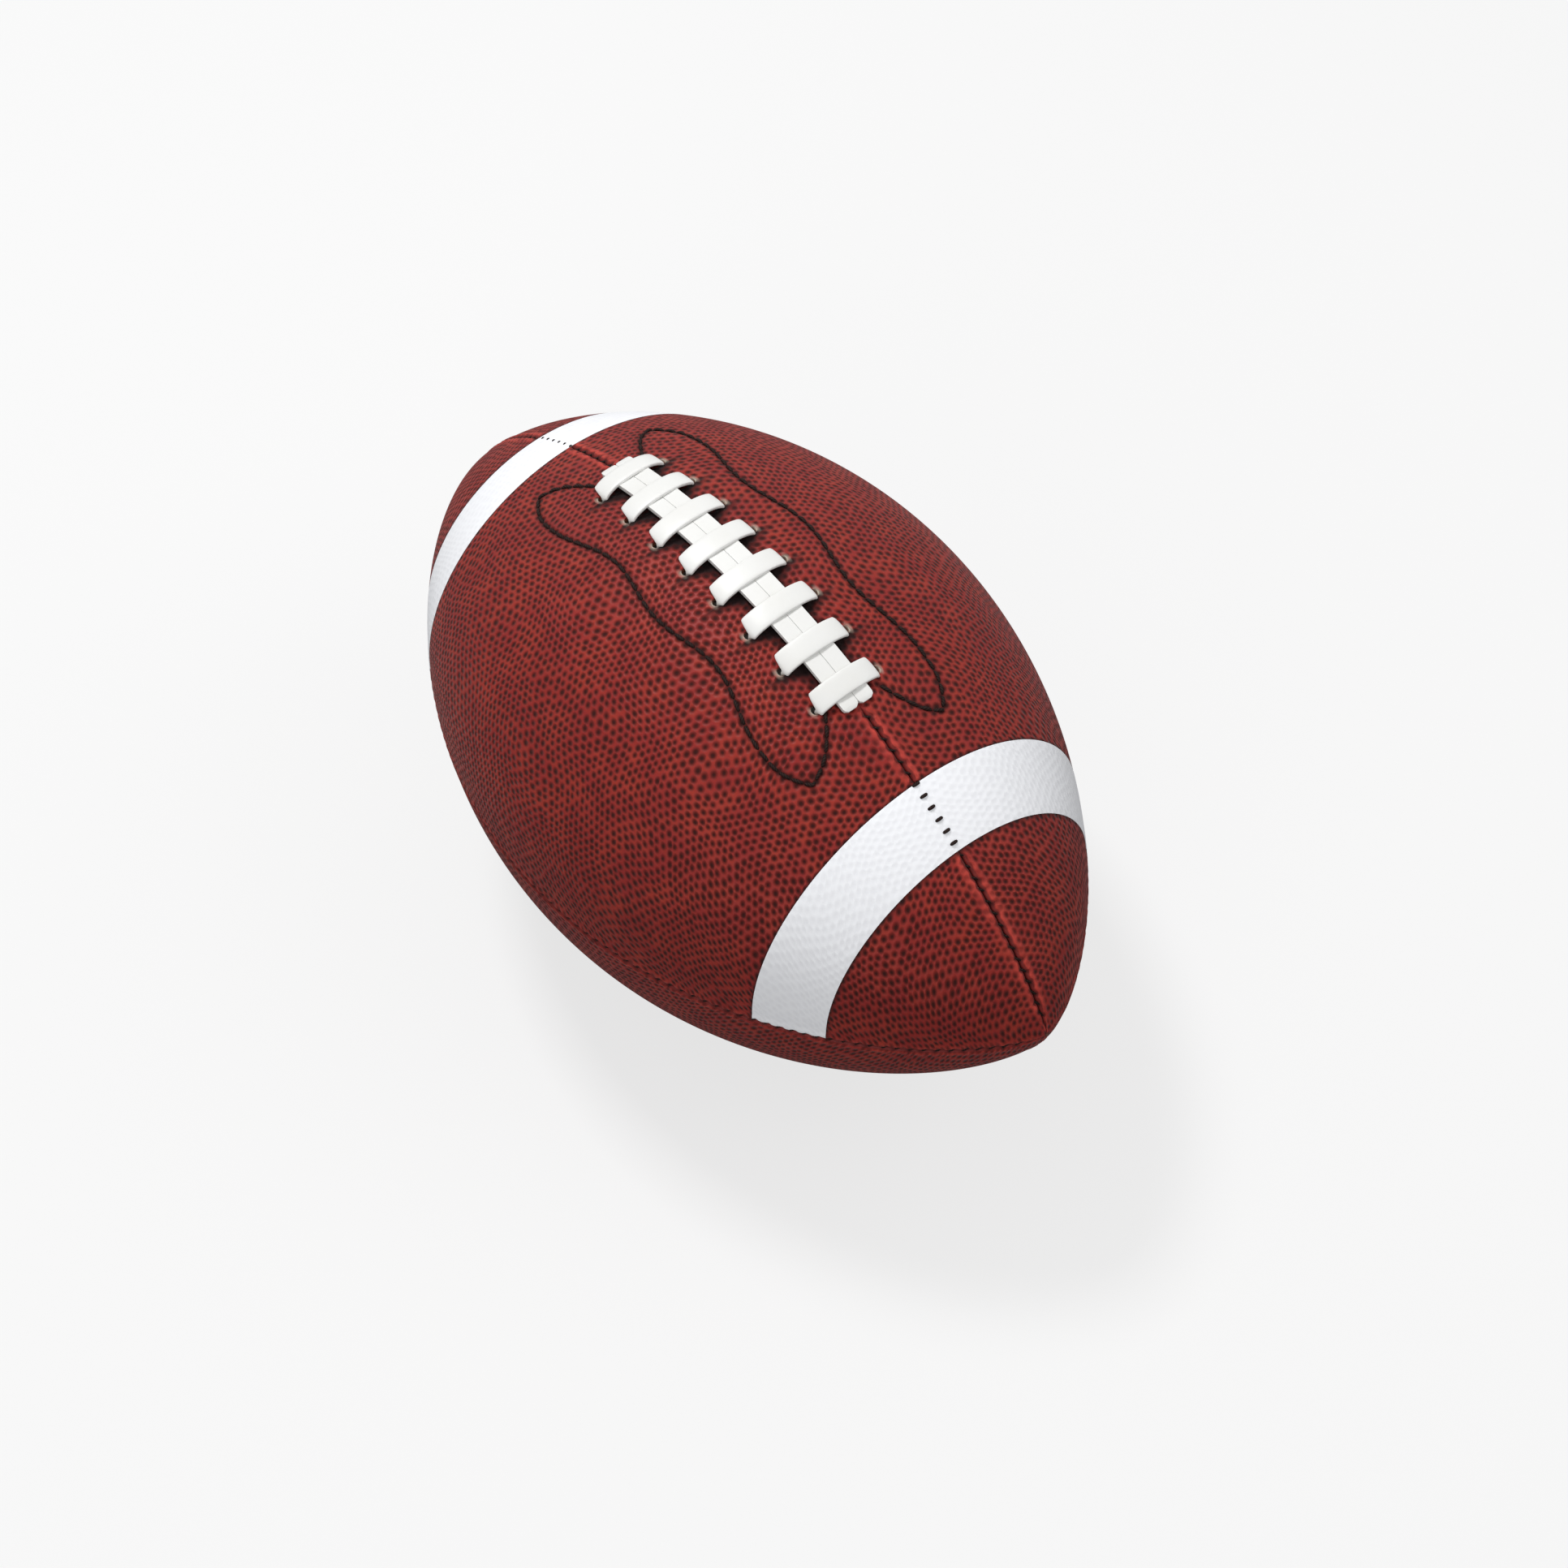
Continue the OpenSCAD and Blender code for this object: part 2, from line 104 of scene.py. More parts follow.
class CoverSettings(bpy.types.PropertyGroup):
    """The ball's outline and its sewn leather panels."""

    ball_length: length_property("Ball length", "Length from nose to nose", 284)
    belly_diameter: length_property("Belly diameter", "Diameter halfway along the ball", 170)
    outline_power: FloatProperty(
        name="Outline power", description="Lower is fuller towards the noses", default=0.72, min=0.6, max=0.9
    )
    leather_thickness: length_property("Leather thickness", "Thickness of a panel", 2)
    seam_allowance: length_property("Seam allowance", "How far a panel's edge turns in", 5.5)
    seam_gap: length_property("Seam gap", "Gap between two sewn edges", 0.2)
    crease_depth: length_property("Crease depth", "Depth of the rounded edge along a seam", 1.4)
    shoulder_width: length_property("Shoulder width", "Width of the rounded edge between stitches", 1.0)
    pucker_width: length_property("Pucker width", "How much wider a stitch pulls the edge", 1.0)
    rim_height: length_property("Rim height", "How far the leather swells beside a seam", 0.45)
    rim_width: length_property("Rim width", "Reach of that swelling", 0.75)
    seam_reach: length_property("Seam reach", "Width of the strip that a seam shapes", 5.7)
    seam_stitch: length_property("Seam stitch", "Length of one stitch of a seam", 3.96)
    pit_spacing: length_property("Pit spacing", "Distance between two pits of the grain", 2.6)
    pit_depth: length_property("Pit depth", "Depth of a pit of the grain", 0.4)
    ridge_colour: colour_property("Ridge colour", "Leather between the pits", (0.24, 0.0157, 0.011))
    warm_colour: colour_property("Warm colour", "Lighter patches of the ridges", (0.3, 0.0265, 0.0147))
    cool_colour: colour_property("Cool colour", "What tints some ridges", (0.24, 0.015, 0.022))
    # Dark crease of a seam: partly dye and partly painted shade
    crease_dye_and_shade_colour: colour_property("Crease colour", "Leather deep in a seam", (0.17, 0.014, 0.011))
    # Painted shade: the leather darkened beside the lace, along the contour stitching, at the stripes' edges
    # and where stitches pull a seam open
    painted_shade_colour: colour_property("Painted shade colour", "Leather beside lace and thread", (0.007, 0.001, 0.001))
    pit_colour: colour_property("Pit colour", "Leather in the pits", (0.03, 0.003, 0.0018))
    # Painted highlight on the swollen lips beside a seam
    lip_highlight_colour: colour_property("Lip highlight colour", "Raised leather beside a seam", (0.6, 0.066, 0.046))
    cut_colour: colour_property("Cut colour", "Cut edge of a punched hole", (0.62, 0.55, 0.45))
    flesh_colour: colour_property("Flesh colour", "Inner face of the leather", (0.33, 0.16, 0.09))


class StripeSettings(bpy.types.PropertyGroup):
    """The white film round each end of the lace panels."""

    nose_distance: length_property("Nose distance", "From a nose to its stripe, along the axis", 40)
    width: length_property("Width", "Width of a stripe along the axis", 19)
    recess: length_property("Recess", "How deep the film lies in the leather", 0.25)
    rise: length_property("Rise", "How far the film stands proud", 0.08)
    colour: colour_property("Colour", "Colour of the film", (0.91, 0.92, 0.95))
    dimple_colour: colour_property("Dimple colour", "What tints the dimples", (0.5, 0.5, 0.54))


class LaceSettings(bpy.types.PropertyGroup):
    """The vinyl lace and its punched holes."""

    count: IntProperty(name="Cross laces", description="Number of cross laces", default=8, min=2, max=8)
    pitch: length_property("Pitch", "Distance between two cross laces", 14.6)
    width: length_property("Width", "Width of a cross lace", 7.2)
    thickness: length_property("Thickness", "Thickness of the flat lace", 1.55)
    strand_width: length_property("Strand width", "Width of one lengthwise strand", 5.3)
    strand_gap: length_property("Strand gap", "Gap between the two strands", 0.03)
    strand_tail: length_property("Strand tail", "How far a strand passes the last cross lace", 3.6)
    lift: length_property("Lift", "Gap between the leather and a strand", 0.15)
    bite: length_property("Bite", "How far a cross lace presses into a strand", 0.25)
    hole_spacing: length_property("Hole spacing", "From left to right hole", 24)
    hole_shift: length_property("Hole shift", "Hole's place along the ball from the cross lace's middle", 1.1)
    hole_diameter: length_property("Hole diameter", "Diameter of a punched hole", 3.1)
    leg_diameter: length_property("Leg diameter", "Diameter of the gathered lace in a hole", 1.7)
    leg_inset: length_property("Leg inset", "Leg's place inwards of the hole's centre", 0.1)
    leg_shift: length_property("Leg shift", "Leg's place along the ball from the cross lace's middle", 1.6)
    gather: length_property("Gather", "Length over which a cross lace narrows before its hole", 1.4)
    leg_depth: length_property("Leg depth", "Depth at which the lace runs on inside the ball", 5.0)
    inner_thickness: length_property("Inner thickness", "Thickness of the lace inside the ball", 1.0)
    press_depth: length_property("Press depth", "How far the tied lace presses the leather in", 1.6)
    press_width: length_property("Press width", "Reach of that valley to each side", 7.5)
    colour: colour_property("Colour", "Colour of the lace", (0.745, 0.745, 0.728))
    handled_colour: colour_property("Handled colour", "What tints its handled places", (0.68, 0.67, 0.635))


class StitchSettings(bpy.types.PropertyGroup):
    """The black threads: the contour line beside the lacing and the seams."""

    contour_distance: length_property("Contour distance", "Mean distance from the top seam", 26.2)
    contour_wave: length_property("Contour wave", "Swing of the line to either side", 2)
    wave_length: length_property("Wave length", "Length of one wave", 52)
    corner_reach: length_property("Corner reach", "Corners' place past the last cross lace", 19)
    corner_distance: length_property("Corner distance", "Corners' distance from the top seam", 21.5)
    end_distance: length_property("End distance", "Where the line ends, from the top seam", 9)
    right_drift: length_property("Right drift", "How far the right line's front end is off", 3.2)
    pitch: length_property("Pitch", "Length of one contour stitch", 4)
    gap: length_property("Gap", "Gap between two contour stitches", 0.5)
    thread_diameter: length_property("Thread diameter", "Diameter of the waxed thread", 1.15)
    groove_depth: length_property("Groove depth", "How far the stitches pull the leather in", 0.35)
    groove_width: length_property("Groove width", "Half width of that groove", 1.0)
    colour: colour_property("Colour", "Colour of the thread", (0.022, 0.009, 0.007))
    # Painted shade between the thread's wound strands
    strand_shade_colour: colour_property("Strand shade colour", "Between its wound strands", (0.002, 0.002, 0.002))


class ValveSettings(bpy.types.PropertyGroup):
    """The rubber valve in the back of the ball."""

    stem_diameter: length_property("Stem diameter", "Diameter of the valve's stem", 7)
    colour: colour_property("Colour", "Colour of the rubber", (0.03, 0.03, 0.03))
    worn_colour: colour_property("Worn colour", "Lighter places of the rubber", (0.055, 0.055, 0.055))


class StageSettings(bpy.types.PropertyGroup):
    """The floor, the lamps and the camera."""

    floor_radius: length_property("Floor radius", "Radius of the round floor", 3000)
    key_power: power_property("Key power", "Lamp overhead", 12.6)
    fill_power: power_property("Fill power", "Lamp on the far side", 3.5)
    low_power: power_property("Low power", "Lamp beside the camera", 4.5)
    sky_strength: FloatProperty(name="Sky strength", description="Even light around", default=0.45, min=0.0)
    focal_length: FloatProperty(
        name="Focal length", description="Focal length of the camera", default=71.459, min=10.0, unit="CAMERA"
    )


class FootballSettings(bpy.types.PropertyGroup):
    """All settings of the ball."""

    cover: PointerProperty(type=CoverSettings)
    stripe: PointerProperty(type=StripeSettings)
    lace: PointerProperty(type=LaceSettings)
    stitch: PointerProperty(type=StitchSettings)
    valve: PointerProperty(type=ValveSettings)
    stage: PointerProperty(type=StageSettings)


# Shape of the ball


# The places that measure the outline's length, and the turn of the last one
FINE_PLACES = 2000
FINE_TURN = 0.999 * QUARTER_TURN


def outline(cover, x):
    """Radius of the outer face at x and its slope there. The radius is the belly's radius times
    1 - (x / half length)^2 to the outline power, and the slope is that formula's derivative."""
    half_length = cover.ball_length / 2
    fullness = 1 - (x / half_length) ** 2
    radius = cover.belly_diameter / 2 * fullness**cover.outline_power
    return radius, -2 * cover.outline_power * x / half_length**2 * radius / fullness


def on_ball(cover, x, angle, height):
    """Points at x, angle and height, from the ball's axis. A height goes out along the normal, which
    leans along X by the outline's slope."""
    radius, slope = outline(cover, x)
    lean = 1 / np.sqrt(1 + slope**2)
    across = radius + height * lean
    along = x - height * slope * lean
    return np.stack(np.broadcast_arrays(along, across * np.sin(angle), across * np.cos(angle)), -1)


def run_along(x, y):
    """Distance from a line's first point to each of its points: the sum of its straight steps."""
    return np.concatenate([[0], np.cumsum(np.hypot(np.diff(x), np.diff(y)))])


def fine_outline(cover):
    """Close places from the belly to just before the nose, and the outline's length up to each."""
    x = cover.ball_length / 2 * np.sin(np.linspace(0, FINE_TURN, FINE_PLACES))
    return x, run_along(x, outline(cover, x)[0])


def outline_arc(cover, x):
    """Distance along the outline from the belly to each x."""
    fine_x, fine_arc = fine_outline(cover)
    return np.sign(x) * np.interp(np.abs(x), fine_x, fine_arc)


def outline_place(cover, arc):
    """The x at each distance along the outline from the belly, the inverse of outline_arc."""
    fine_x, fine_arc = fine_outline(cover)
    return np.sign(arc) * np.interp(np.abs(arc), fine_arc, fine_x)


def belly_angle(cover, distance):
    """Angle from the top seam at the belly of a place at a distance from the seam's plane."""
    return math.asin(distance / (cover.belly_diameter / 2))


def nose_shrink(cover, radius):
    """Share to which a seam's forms shrink where the ball is narrow: the radius over twice their reach."""
    return np.minimum(1, radius / (2 * cover.seam_reach))


def half_lacing(lace):
    """Distance from the ball's middle to the last cross lace."""
    return (lace.count - 1) * lace.pitch / 2


def stripe_edges(football):
    """Distances from the ball's middle to the two edges of a stripe."""
    end = football.cover.ball_length / 2 - football.stripe.nose_distance
    return end - football.stripe.width, end


def smooth_step(value, start, end):
    """0 before start, 1 after end, and 3t^2 - 2t^3 between them."""
    t = np.clip((value - start) / (end - start), 0, 1)
    return t * t * (3 - 2 * t)


def place(points, right=False, back=False):
    """Mirrors points of the upper left quarter to the right half or the back, and lifts them to the
    ball's axis."""
    signs = np.array([1.0, -1.0 if right else 1.0, -1.0 if back else 1.0])
    return points * signs + np.array([0, 0, AXIS_HEIGHT])


def unit(vectors):
    """Each vector at length 1."""
    return vectors / np.maximum(np.linalg.norm(vectors, axis=-1, keepdims=True), 1e-12)


def grid_normals(points):
    """Unit normals of a grid of points: the cross product of its two directions."""
    return unit(np.cross(np.gradient(points, axis=0), np.gradient(points, axis=1)))


# Meshes


SHARP_ANGLE = math.radians(50)


def grid_quads(index, keep=None):
    """Quads between the neighbours of a grid of vertex numbers, for the kept cells."""
    quads = np.stack([index[:-1, :-1], index[1:, :-1], index[1:, 1:], index[:-1, 1:]], -1)
    return quads[keep] if keep is not None else quads.reshape(-1, 4)


def wall_quads(outer, inner, keep, closed_rows):
    """Quads between two grids along each edge where a kept cell meets none. The first and last rows
    count as edges unless closed_rows says that something else closes them."""
    beside = np.pad(keep, ((0, 0), (1, 1)), constant_values=False)
    left, right = beside[:, :-1], beside[:, 1:]
    around = np.pad(keep, ((1, 1), (0, 0)), mode="edge" if closed_rows else "constant")
    before, after = around[:-1], around[1:]
    along = np.stack([outer[:-1], outer[1:], inner[1:], inner[:-1]], -1)
    across = np.stack([outer[:, :-1], outer[:, 1:], inner[:, 1:], inner[:, :-1]], -1)
    return np.concatenate([
        along[left & ~right],
        along[right & ~left][:, ::-1],
        across[after & ~before],
        across[before & ~after][:, ::-1],
    ])


def nose_triangles(outer, inner, pole, last):
    """Triangles from the first or last row of two grids to one point, with their side edges closed."""
    out_row, in_row = (outer[-1], inner[-1]) if last else (outer[0], inner[0])
    tips = np.full(len(out_row) - 1, pole)
    fans = np.concatenate([
        np.stack([out_row[:-1], out_row[1:], tips], -1),
        np.stack([in_row[1:], in_row[:-1], tips], -1),
        [[out_row[0], pole, in_row[0]], [pole, out_row[-1], in_row[-1]]],
    ])
    return fans[:, ::-1] if last else fans


def shell(outer_points, inner_points, keep, poles=None):
    """A closed shell between an outer and an inner grid. Returns points, quads and triangles."""
    rows, columns = outer_points.shape[:2]
    outer = np.arange(rows * columns).reshape(rows, columns)
    inner = outer + rows * columns
    points = np.concatenate([outer_points.reshape(-1, 3), inner_points.reshape(-1, 3)])
    quads = [grid_quads(outer, keep), grid_quads(inner, keep)[:, ::-1]]
    quads.append(wall_quads(outer, inner, keep, poles is not None))
    triangles = np.empty((0, 3), int)
    if poles is not None:
        first = len(points)
        points = np.concatenate([points, poles])
        triangles = np.concatenate([
            nose_triangles(outer, inner, first, False),
            nose_triangles(outer, inner, first + 1, True),
        ])
    return points, np.concatenate(quads), triangles


def add_piece(name, nodes, points, quads, triangles, material, uv=None, attributes=None, flip=False):
    """Makes a mesh object from arrays, drops the vertices that no face uses, ties the piece to its
    body, and hides the CAD nodes that it stands for."""
    faces = [quads[:, ::-1], triangles[:, ::-1]] if flip else [quads, triangles]
    used, corners = np.unique(np.concatenate([f.ravel() for f in faces]), return_inverse=True)
    quad_corners = faces[0].size
    mesh = bpy.data.meshes.new(name)
    mesh.from_pydata(
        points[used].tolist(),
        [],
        corners[:quad_corners].reshape(-1, 4).tolist() + corners[quad_corners:].reshape(-1, 3).tolist(),
    )
    mesh.polygons.foreach_set("use_smooth", np.ones(len(mesh.polygons), bool))
    mesh.set_sharp_from_angle(angle=SHARP_ANGLE)
    if uv is not None:
        layer = mesh.uv_layers.new(name="surface")
        layer.data.foreach_set("uv", uv[used][corners].astype(np.float32).ravel())
    for key, values in (attributes or {}).items():
        attribute = mesh.attributes.new(key, "FLOAT", "POINT")
        attribute.data.foreach_set("value", values[used].astype(np.float32))
    mesh.materials.append(material)
    mesh.validate()
    piece = bpy.data.objects.new(name, mesh)
    bpy.context.scene.collection.objects.link(piece)
    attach(piece, "root")
    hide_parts(*nodes)
    return piece


def tubes(centre, side, half_width, half_height, squareness, around):
    """Closed tubes along paths, whose centres are shaped (tube, ring, 3). A ring's point is its centre
    plus the side direction times half the width times the cosine, plus the up direction times half
    the height times the sine, where cosine and sine keep their sign and are raised to 1 - squareness.
    The ends are closed by fans. Returns points, quads, triangles and a UV map that runs along the
    path and round the section."""
    count, rings = centre.shape[:2]
    side = np.broadcast_to(side, centre.shape)
    up = unit(np.cross(unit(np.gradient(centre, axis=1)), side))
    half_width, half_height, squareness = (
        np.broadcast_to(value, (count, rings))[..., None] for value in (half_width, half_height, squareness)
    )
    turn = np.linspace(0, 2 * math.pi, around, endpoint=False)
    cosine = np.sign(np.cos(turn)) * np.abs(np.cos(turn)) ** (1 - squareness)
    sine = np.sign(np.sin(turn)) * np.abs(np.sin(turn)) ** (1 - squareness)
    width = (half_width * cosine)[..., None] * side[..., None, :]
    height = (half_height * sine)[..., None] * up[..., None, :]
    points = (centre[..., None, :] + width + height).reshape(-1, 3)

    index = np.arange(count * rings * around).reshape(count, rings, around)
    beside = np.roll(index, -1, axis=2)
    quads = np.stack([index[:, :-1], beside[:, :-1], beside[:, 1:], index[:, 1:]], -1).reshape(-1, 4)
    ends = len(points) + np.arange(2 * count).reshape(2, count, 1)
    first, last = ends.repeat(around, axis=2)
    triangles = np.concatenate([
        np.stack([first, beside[:, 0], index[:, 0]], -1).reshape(-1, 3),
        np.stack([last, index[:, -1], beside[:, -1]], -1).reshape(-1, 3),
    ])
    steps = np.linalg.norm(np.diff(centre, axis=1), axis=-1)
    run = np.concatenate([np.zeros((count, 1)), np.cumsum(steps, axis=1)], axis=1)
    uv = np.stack(np.broadcast_arrays(run[..., None], turn / (2 * math.pi)), -1).reshape(-1, 2)
    end_uv = np.stack([np.concatenate([run[:, 0], run[:, -1]]), np.zeros(2 * count)], -1)
    points = np.concatenate([points, centre[:, 0], centre[:, -1]])
    return points, quads, triangles, np.concatenate([uv, end_uv])


def join(parts):
    """Joins several (points, quads, triangles, uv) into one."""
    starts = np.cumsum([0] + [len(p[0]) for p in parts[:-1]])
    return (
        np.concatenate([p[0] for p in parts]),
        np.concatenate([p[1] + start for p, start in zip(parts, starts)]),
        np.concatenate([p[2] + start for p, start in zip(parts, starts)]),
        np.concatenate([p[3] for p in parts]),
    )


# Materials


# The grain: the length and swing of the noise that bends its lattice, in pit spacings, how far the
# lattice's points stray, the radius of the smallest and largest pit, and where a pit's edge fades
GRAIN_BEND_LENGTH = 9
GRAIN_BEND_SWING = 2.2
GRAIN_STRAY = 0.24
PIT_RADIUS = (0.46, 0.54)
PIT_FADE = (-0.07, 0.46)

# The distance between two yarns of the cloth, and the painted shade between them and the colour on them
YARN_SPACING = 0.9 * MM
GAP_SHADE_AND_YARN_COLOURS = ((0.45, 0.4, 0.32), (0.66, 0.61, 0.5))

# The distance along a thread from one strand to the next, and how many strands wind round it
STRAND_STEP = 0.9 * MM
STRAND_COUNT = 3.0


def new_material(name):
    """An empty node material, and its node tree."""
    material = bpy.data.materials.new(name)
    material.use_nodes = True
    material.node_tree.nodes.clear()
    return material, material.node_tree


def add_node(tree, kind, inputs=None, **settings):
    """Adds a node, sets its options, and gives each input a value or a link."""
    node = tree.nodes.new(kind)
    for name, value in settings.items():
        setattr(node, name, value)
    for name, value in (inputs or {}).items():
        if isinstance(value, bpy.types.NodeSocket):
            tree.links.new(value, node.inputs[name])
        else:
            node.inputs[name].default_value = value
    return node


def maths(tree, operation, first, second=0.0):
    """One sum of two values."""
    return add_node(tree, "ShaderNodeMath", {0: first, 1: second}, operation=operation).outputs[0]


def times(tree, first, second):
    """The product of two values."""
    return maths(tree, "MULTIPLY", first, second)


def rest_of(tree, share):
    """1 minus a share."""
    return maths(tree, "SUBTRACT", 1.0, share)


def vector_maths(tree, operation, inputs):
    """The outputs of one sum of vectors."""
    return add_node(tree, "ShaderNodeVectorMath", inputs, operation=operation).outputs


def blend_colours(tree, share, first, second):
    """The first colour where share is 0 and the second where it is 1."""
    colours = [c if isinstance(c, bpy.types.NodeSocket) else (*c, 1) for c in (first, second)]
    inputs = {0: share, 6: colours[0], 7: colours[1]}
    return add_node(tree, "ShaderNodeMix", inputs, data_type="RGBA").outputs[2]


def span(tree, value, low, high, start=0.0, end=1.0):
    """Maps a value from low..high to start..end along a smooth step."""
    inputs = {"Value": value, "From Min": low, "From Max": high, "To Min": start, "To Max": end}
    return add_node(tree, "ShaderNodeMapRange", inputs, interpolation_type="SMOOTHSTEP").outputs[0]


def attribute(tree, name):
    """A piece's own attribute as a value."""
    return add_node(tree, "ShaderNodeAttribute", attribute_name=name).outputs["Fac"]


def object_place(tree):
    """A point's place on the ball."""
    return add_node(tree, "ShaderNodeTexCoord").outputs["Object"]


def surface_place(tree):
    """A point's place on its piece's surface map."""
    return add_node(tree, "ShaderNodeUVMap", uv_map="surface").outputs[0]


def parts_of(tree, vector):
    """The X, Y and Z of a vector."""
    return add_node(tree, "ShaderNodeSeparateXYZ", {0: vector}).outputs


def noise(tree, vector, spacing, detail=2.0, dimensions="3D"):
    """Noise whose waves are about one spacing long: a value about 0.5, and a colour of three values."""
    inputs = {"Vector": vector, "Scale": 1 / spacing, "Detail": detail}
    return add_node(tree, "ShaderNodeTexNoise", inputs, noise_dimensions=dimensions).outputs


def bump(tree, height, distance, below=None):
    """A bump of the given depth in metres, on top of another one if given."""
    inputs = {"Height": height, "Distance": distance, "Strength": 1.0}
    if below is not None:
        inputs["Normal"] = below
    return add_node(tree, "ShaderNodeBump", inputs).outputs[0]


def finish_material(tree, colour, relief, **constants):
    """Adds the shader, with its colour, its bump and its roughness, and with its constants on their own
    sockets."""
    inputs = {"Base Color": colour, "Normal": relief}
    for name, value in constants.items():
        inputs[name.replace("_", " ").title().replace("Ior", "IOR")] = value
    shader = add_node(tree, "ShaderNodeBsdfPrincipled", inputs)
    add_node(tree, "ShaderNodeOutputMaterial", {"Surface": shader.outputs[0]})


def pit_pattern(tree, spacing):
    """How far into a pit of the grain a point lies, from 0 on the ridges to 1 in the pits, and a tone
    that differs from pit to pit.

    The surface map is bent a little by noise and sheared to a triangular lattice, whose points are
    moved about by a Voronoi texture. The distance to the nearest point is taken after the shear is
    undone, so the pits stay round."""
    surface = surface_place(tree)
    bend = noise(tree, surface, GRAIN_BEND_LENGTH * spacing, 0.0, "2D")["Color"]
    centred = vector_maths(tree, "SUBTRACT", {0: bend, 1: (0.5, 0.5, 0.5)})[0]
    swing = vector_maths(tree, "SCALE", {0: centred, "Scale": GRAIN_BEND_SWING * spacing})[0]
    bent = parts_of(tree, vector_maths(tree, "ADD", {0: surface, 1: swing})[0])
    row = times(tree, bent["Y"], 2 / math.sqrt(3) / spacing)
    column = maths(tree, "SUBTRACT", maths(tree, "DIVIDE", bent["X"], spacing), times(tree, row, 0.5))
    lattice = add_node(tree, "ShaderNodeCombineXYZ", {"X": column, "Y": row}).outputs[0]
    inputs = {"Vector": lattice, "Scale": 1.0, "Randomness": GRAIN_STRAY}
    cells = add_node(tree, "ShaderNodeTexVoronoi", inputs, voronoi_dimensions="2D").outputs
    across = parts_of(tree, vector_maths(tree, "SUBTRACT", {0: lattice, 1: cells["Position"]})[0])
    flat_x = maths(tree, "ADD", across["X"], times(tree, across["Y"], 0.5))
    flat_y = times(tree, across["Y"], math.sqrt(3) / 2)
    flat = add_node(tree, "ShaderNodeCombineXYZ", {"X": flat_x, "Y": flat_y}).outputs[0]
    distance = vector_maths(tree, "LENGTH", {0: flat})["Value"]
    cell_tone = add_node(tree, "ShaderNodeSeparateColor", {0: cells["Color"]}).outputs
    edge = span(tree, cell_tone["Red"], 0, 1, *PIT_RADIUS)
    return span(tree, maths(tree, "SUBTRACT", edge, distance), *PIT_FADE), cell_tone["Green"]


def leather_material(cover):
    """Pebbled red-brown leather: dark pits between connected ridges of two reds. The pieces' attributes add
    a painted highlight on the swollen lips of the seams, the seams' dark creases, partly dye and partly
    painted shade, painted shade beside the lace, along the contour stitching, at the stripes' edges and
    where stitches pull a seam open, the pale cut edge of a hole and the plain inner face."""
    material, tree = new_material("pebbled_leather")
    place_node = object_place(tree)
    rim, crease, groove = attribute(tree, "rim"), attribute(tree, "crease"), attribute(tree, "groove")
    cut, flesh = attribute(tree, "cut"), attribute(tree, "flesh")
    pits, tone = pit_pattern(tree, cover.pit_spacing)
    patches = span(tree, noise(tree, place_node, 9 * MM)[0], 0.35, 0.7)
    ridge = blend_colours(tree, patches, cover.ridge_colour, cover.warm_colour)
    ridge = blend_colours(tree, times(tree, tone, 0.25), ridge, cover.cool_colour)
    # Painted highlight on the swollen lips beside a seam, broken into patches by noise
    lip_highlight_patches = span(tree, noise(tree, place_node, 5 * MM, 1.0)[0], 0.35, 0.65, 0.35, 1.0)
    ridge = blend_colours(tree, times(tree, rim, lip_highlight_patches), ridge, cover.lip_highlight_colour)
    open_grain = times(tree, pits, rest_of(tree, maths(tree, "MAXIMUM", rim, crease)))
    colour = blend_colours(tree, open_grain, ridge, cover.pit_colour)
    # The crease share is partly dye and partly painted shade, and the groove share is painted shade; the cut
    # edge and the inner face are the leather's own colours.
    for share, other in (
        (crease, cover.crease_dye_and_shade_colour),
        (groove, cover.painted_shade_colour),
        (cut, cover.cut_colour),
        (flesh, cover.flesh_colour),
    ):
        colour = blend_colours(tree, share, colour, other)
    grained = rest_of(tree, maths(tree, "MAXIMUM", flesh, cut))
    fine = bump(tree, noise(tree, place_node, 0.5 * MM, 3.0)[0], 0.04 * MM)
    relief = bump(tree, times(tree, rest_of(tree, open_grain), grained), cover.pit_depth, fine)
    roughness = span(tree, maths(tree, "MAXIMUM", open_grain, groove), 0, 1, 0.5, 0.85)
    finish_material(
        tree, colour, relief, roughness=roughness,
        specular_ior_level=0.2, sheen_weight=0.06, sheen_roughness=0.45,
    )
    return material


def film_material(stripe, cover):
    """White film over the same grain, which shows only as faint dimples."""
    material, tree = new_material("stripe_film")
    pits, tone = pit_pattern(tree, cover.pit_spacing)
    colour = blend_colours(tree, times(tree, pits, 0.1), stripe.colour, stripe.dimple_colour)
    relief = bump(tree, rest_of(tree, pits), 0.08 * MM)
    roughness = span(tree, tone, 0, 1, 0.5, 0.6)
    finish_material(tree, colour, relief, roughness=roughness, specular_ior_level=0.35)
    return material


def lace_material(lace):
    """White vinyl with a slight unevenness, a fine skin and a faint tint where it has been handled."""
    material, tree = new_material("lace_vinyl")
    place_node = object_place(tree)
    handled = span(tree, noise(tree, place_node, 12 * MM, 3.0)[0], 0.4, 0.8, 0.0, 0.35)
    colour = blend_colours(tree, handled, lace.colour, lace.handled_colour)
    soft = bump(tree, noise(tree, place_node, 3 * MM)[0], 0.08 * MM)
    fine = bump(tree, noise(tree, place_node, 0.4 * MM)[0], 0.015 * MM, soft)
    roughness = span(tree, handled, 0, 0.35, 0.4, 0.52)
    finish_material(tree, colour, fine, roughness=roughness, specular_ior_level=0.4)
    return material


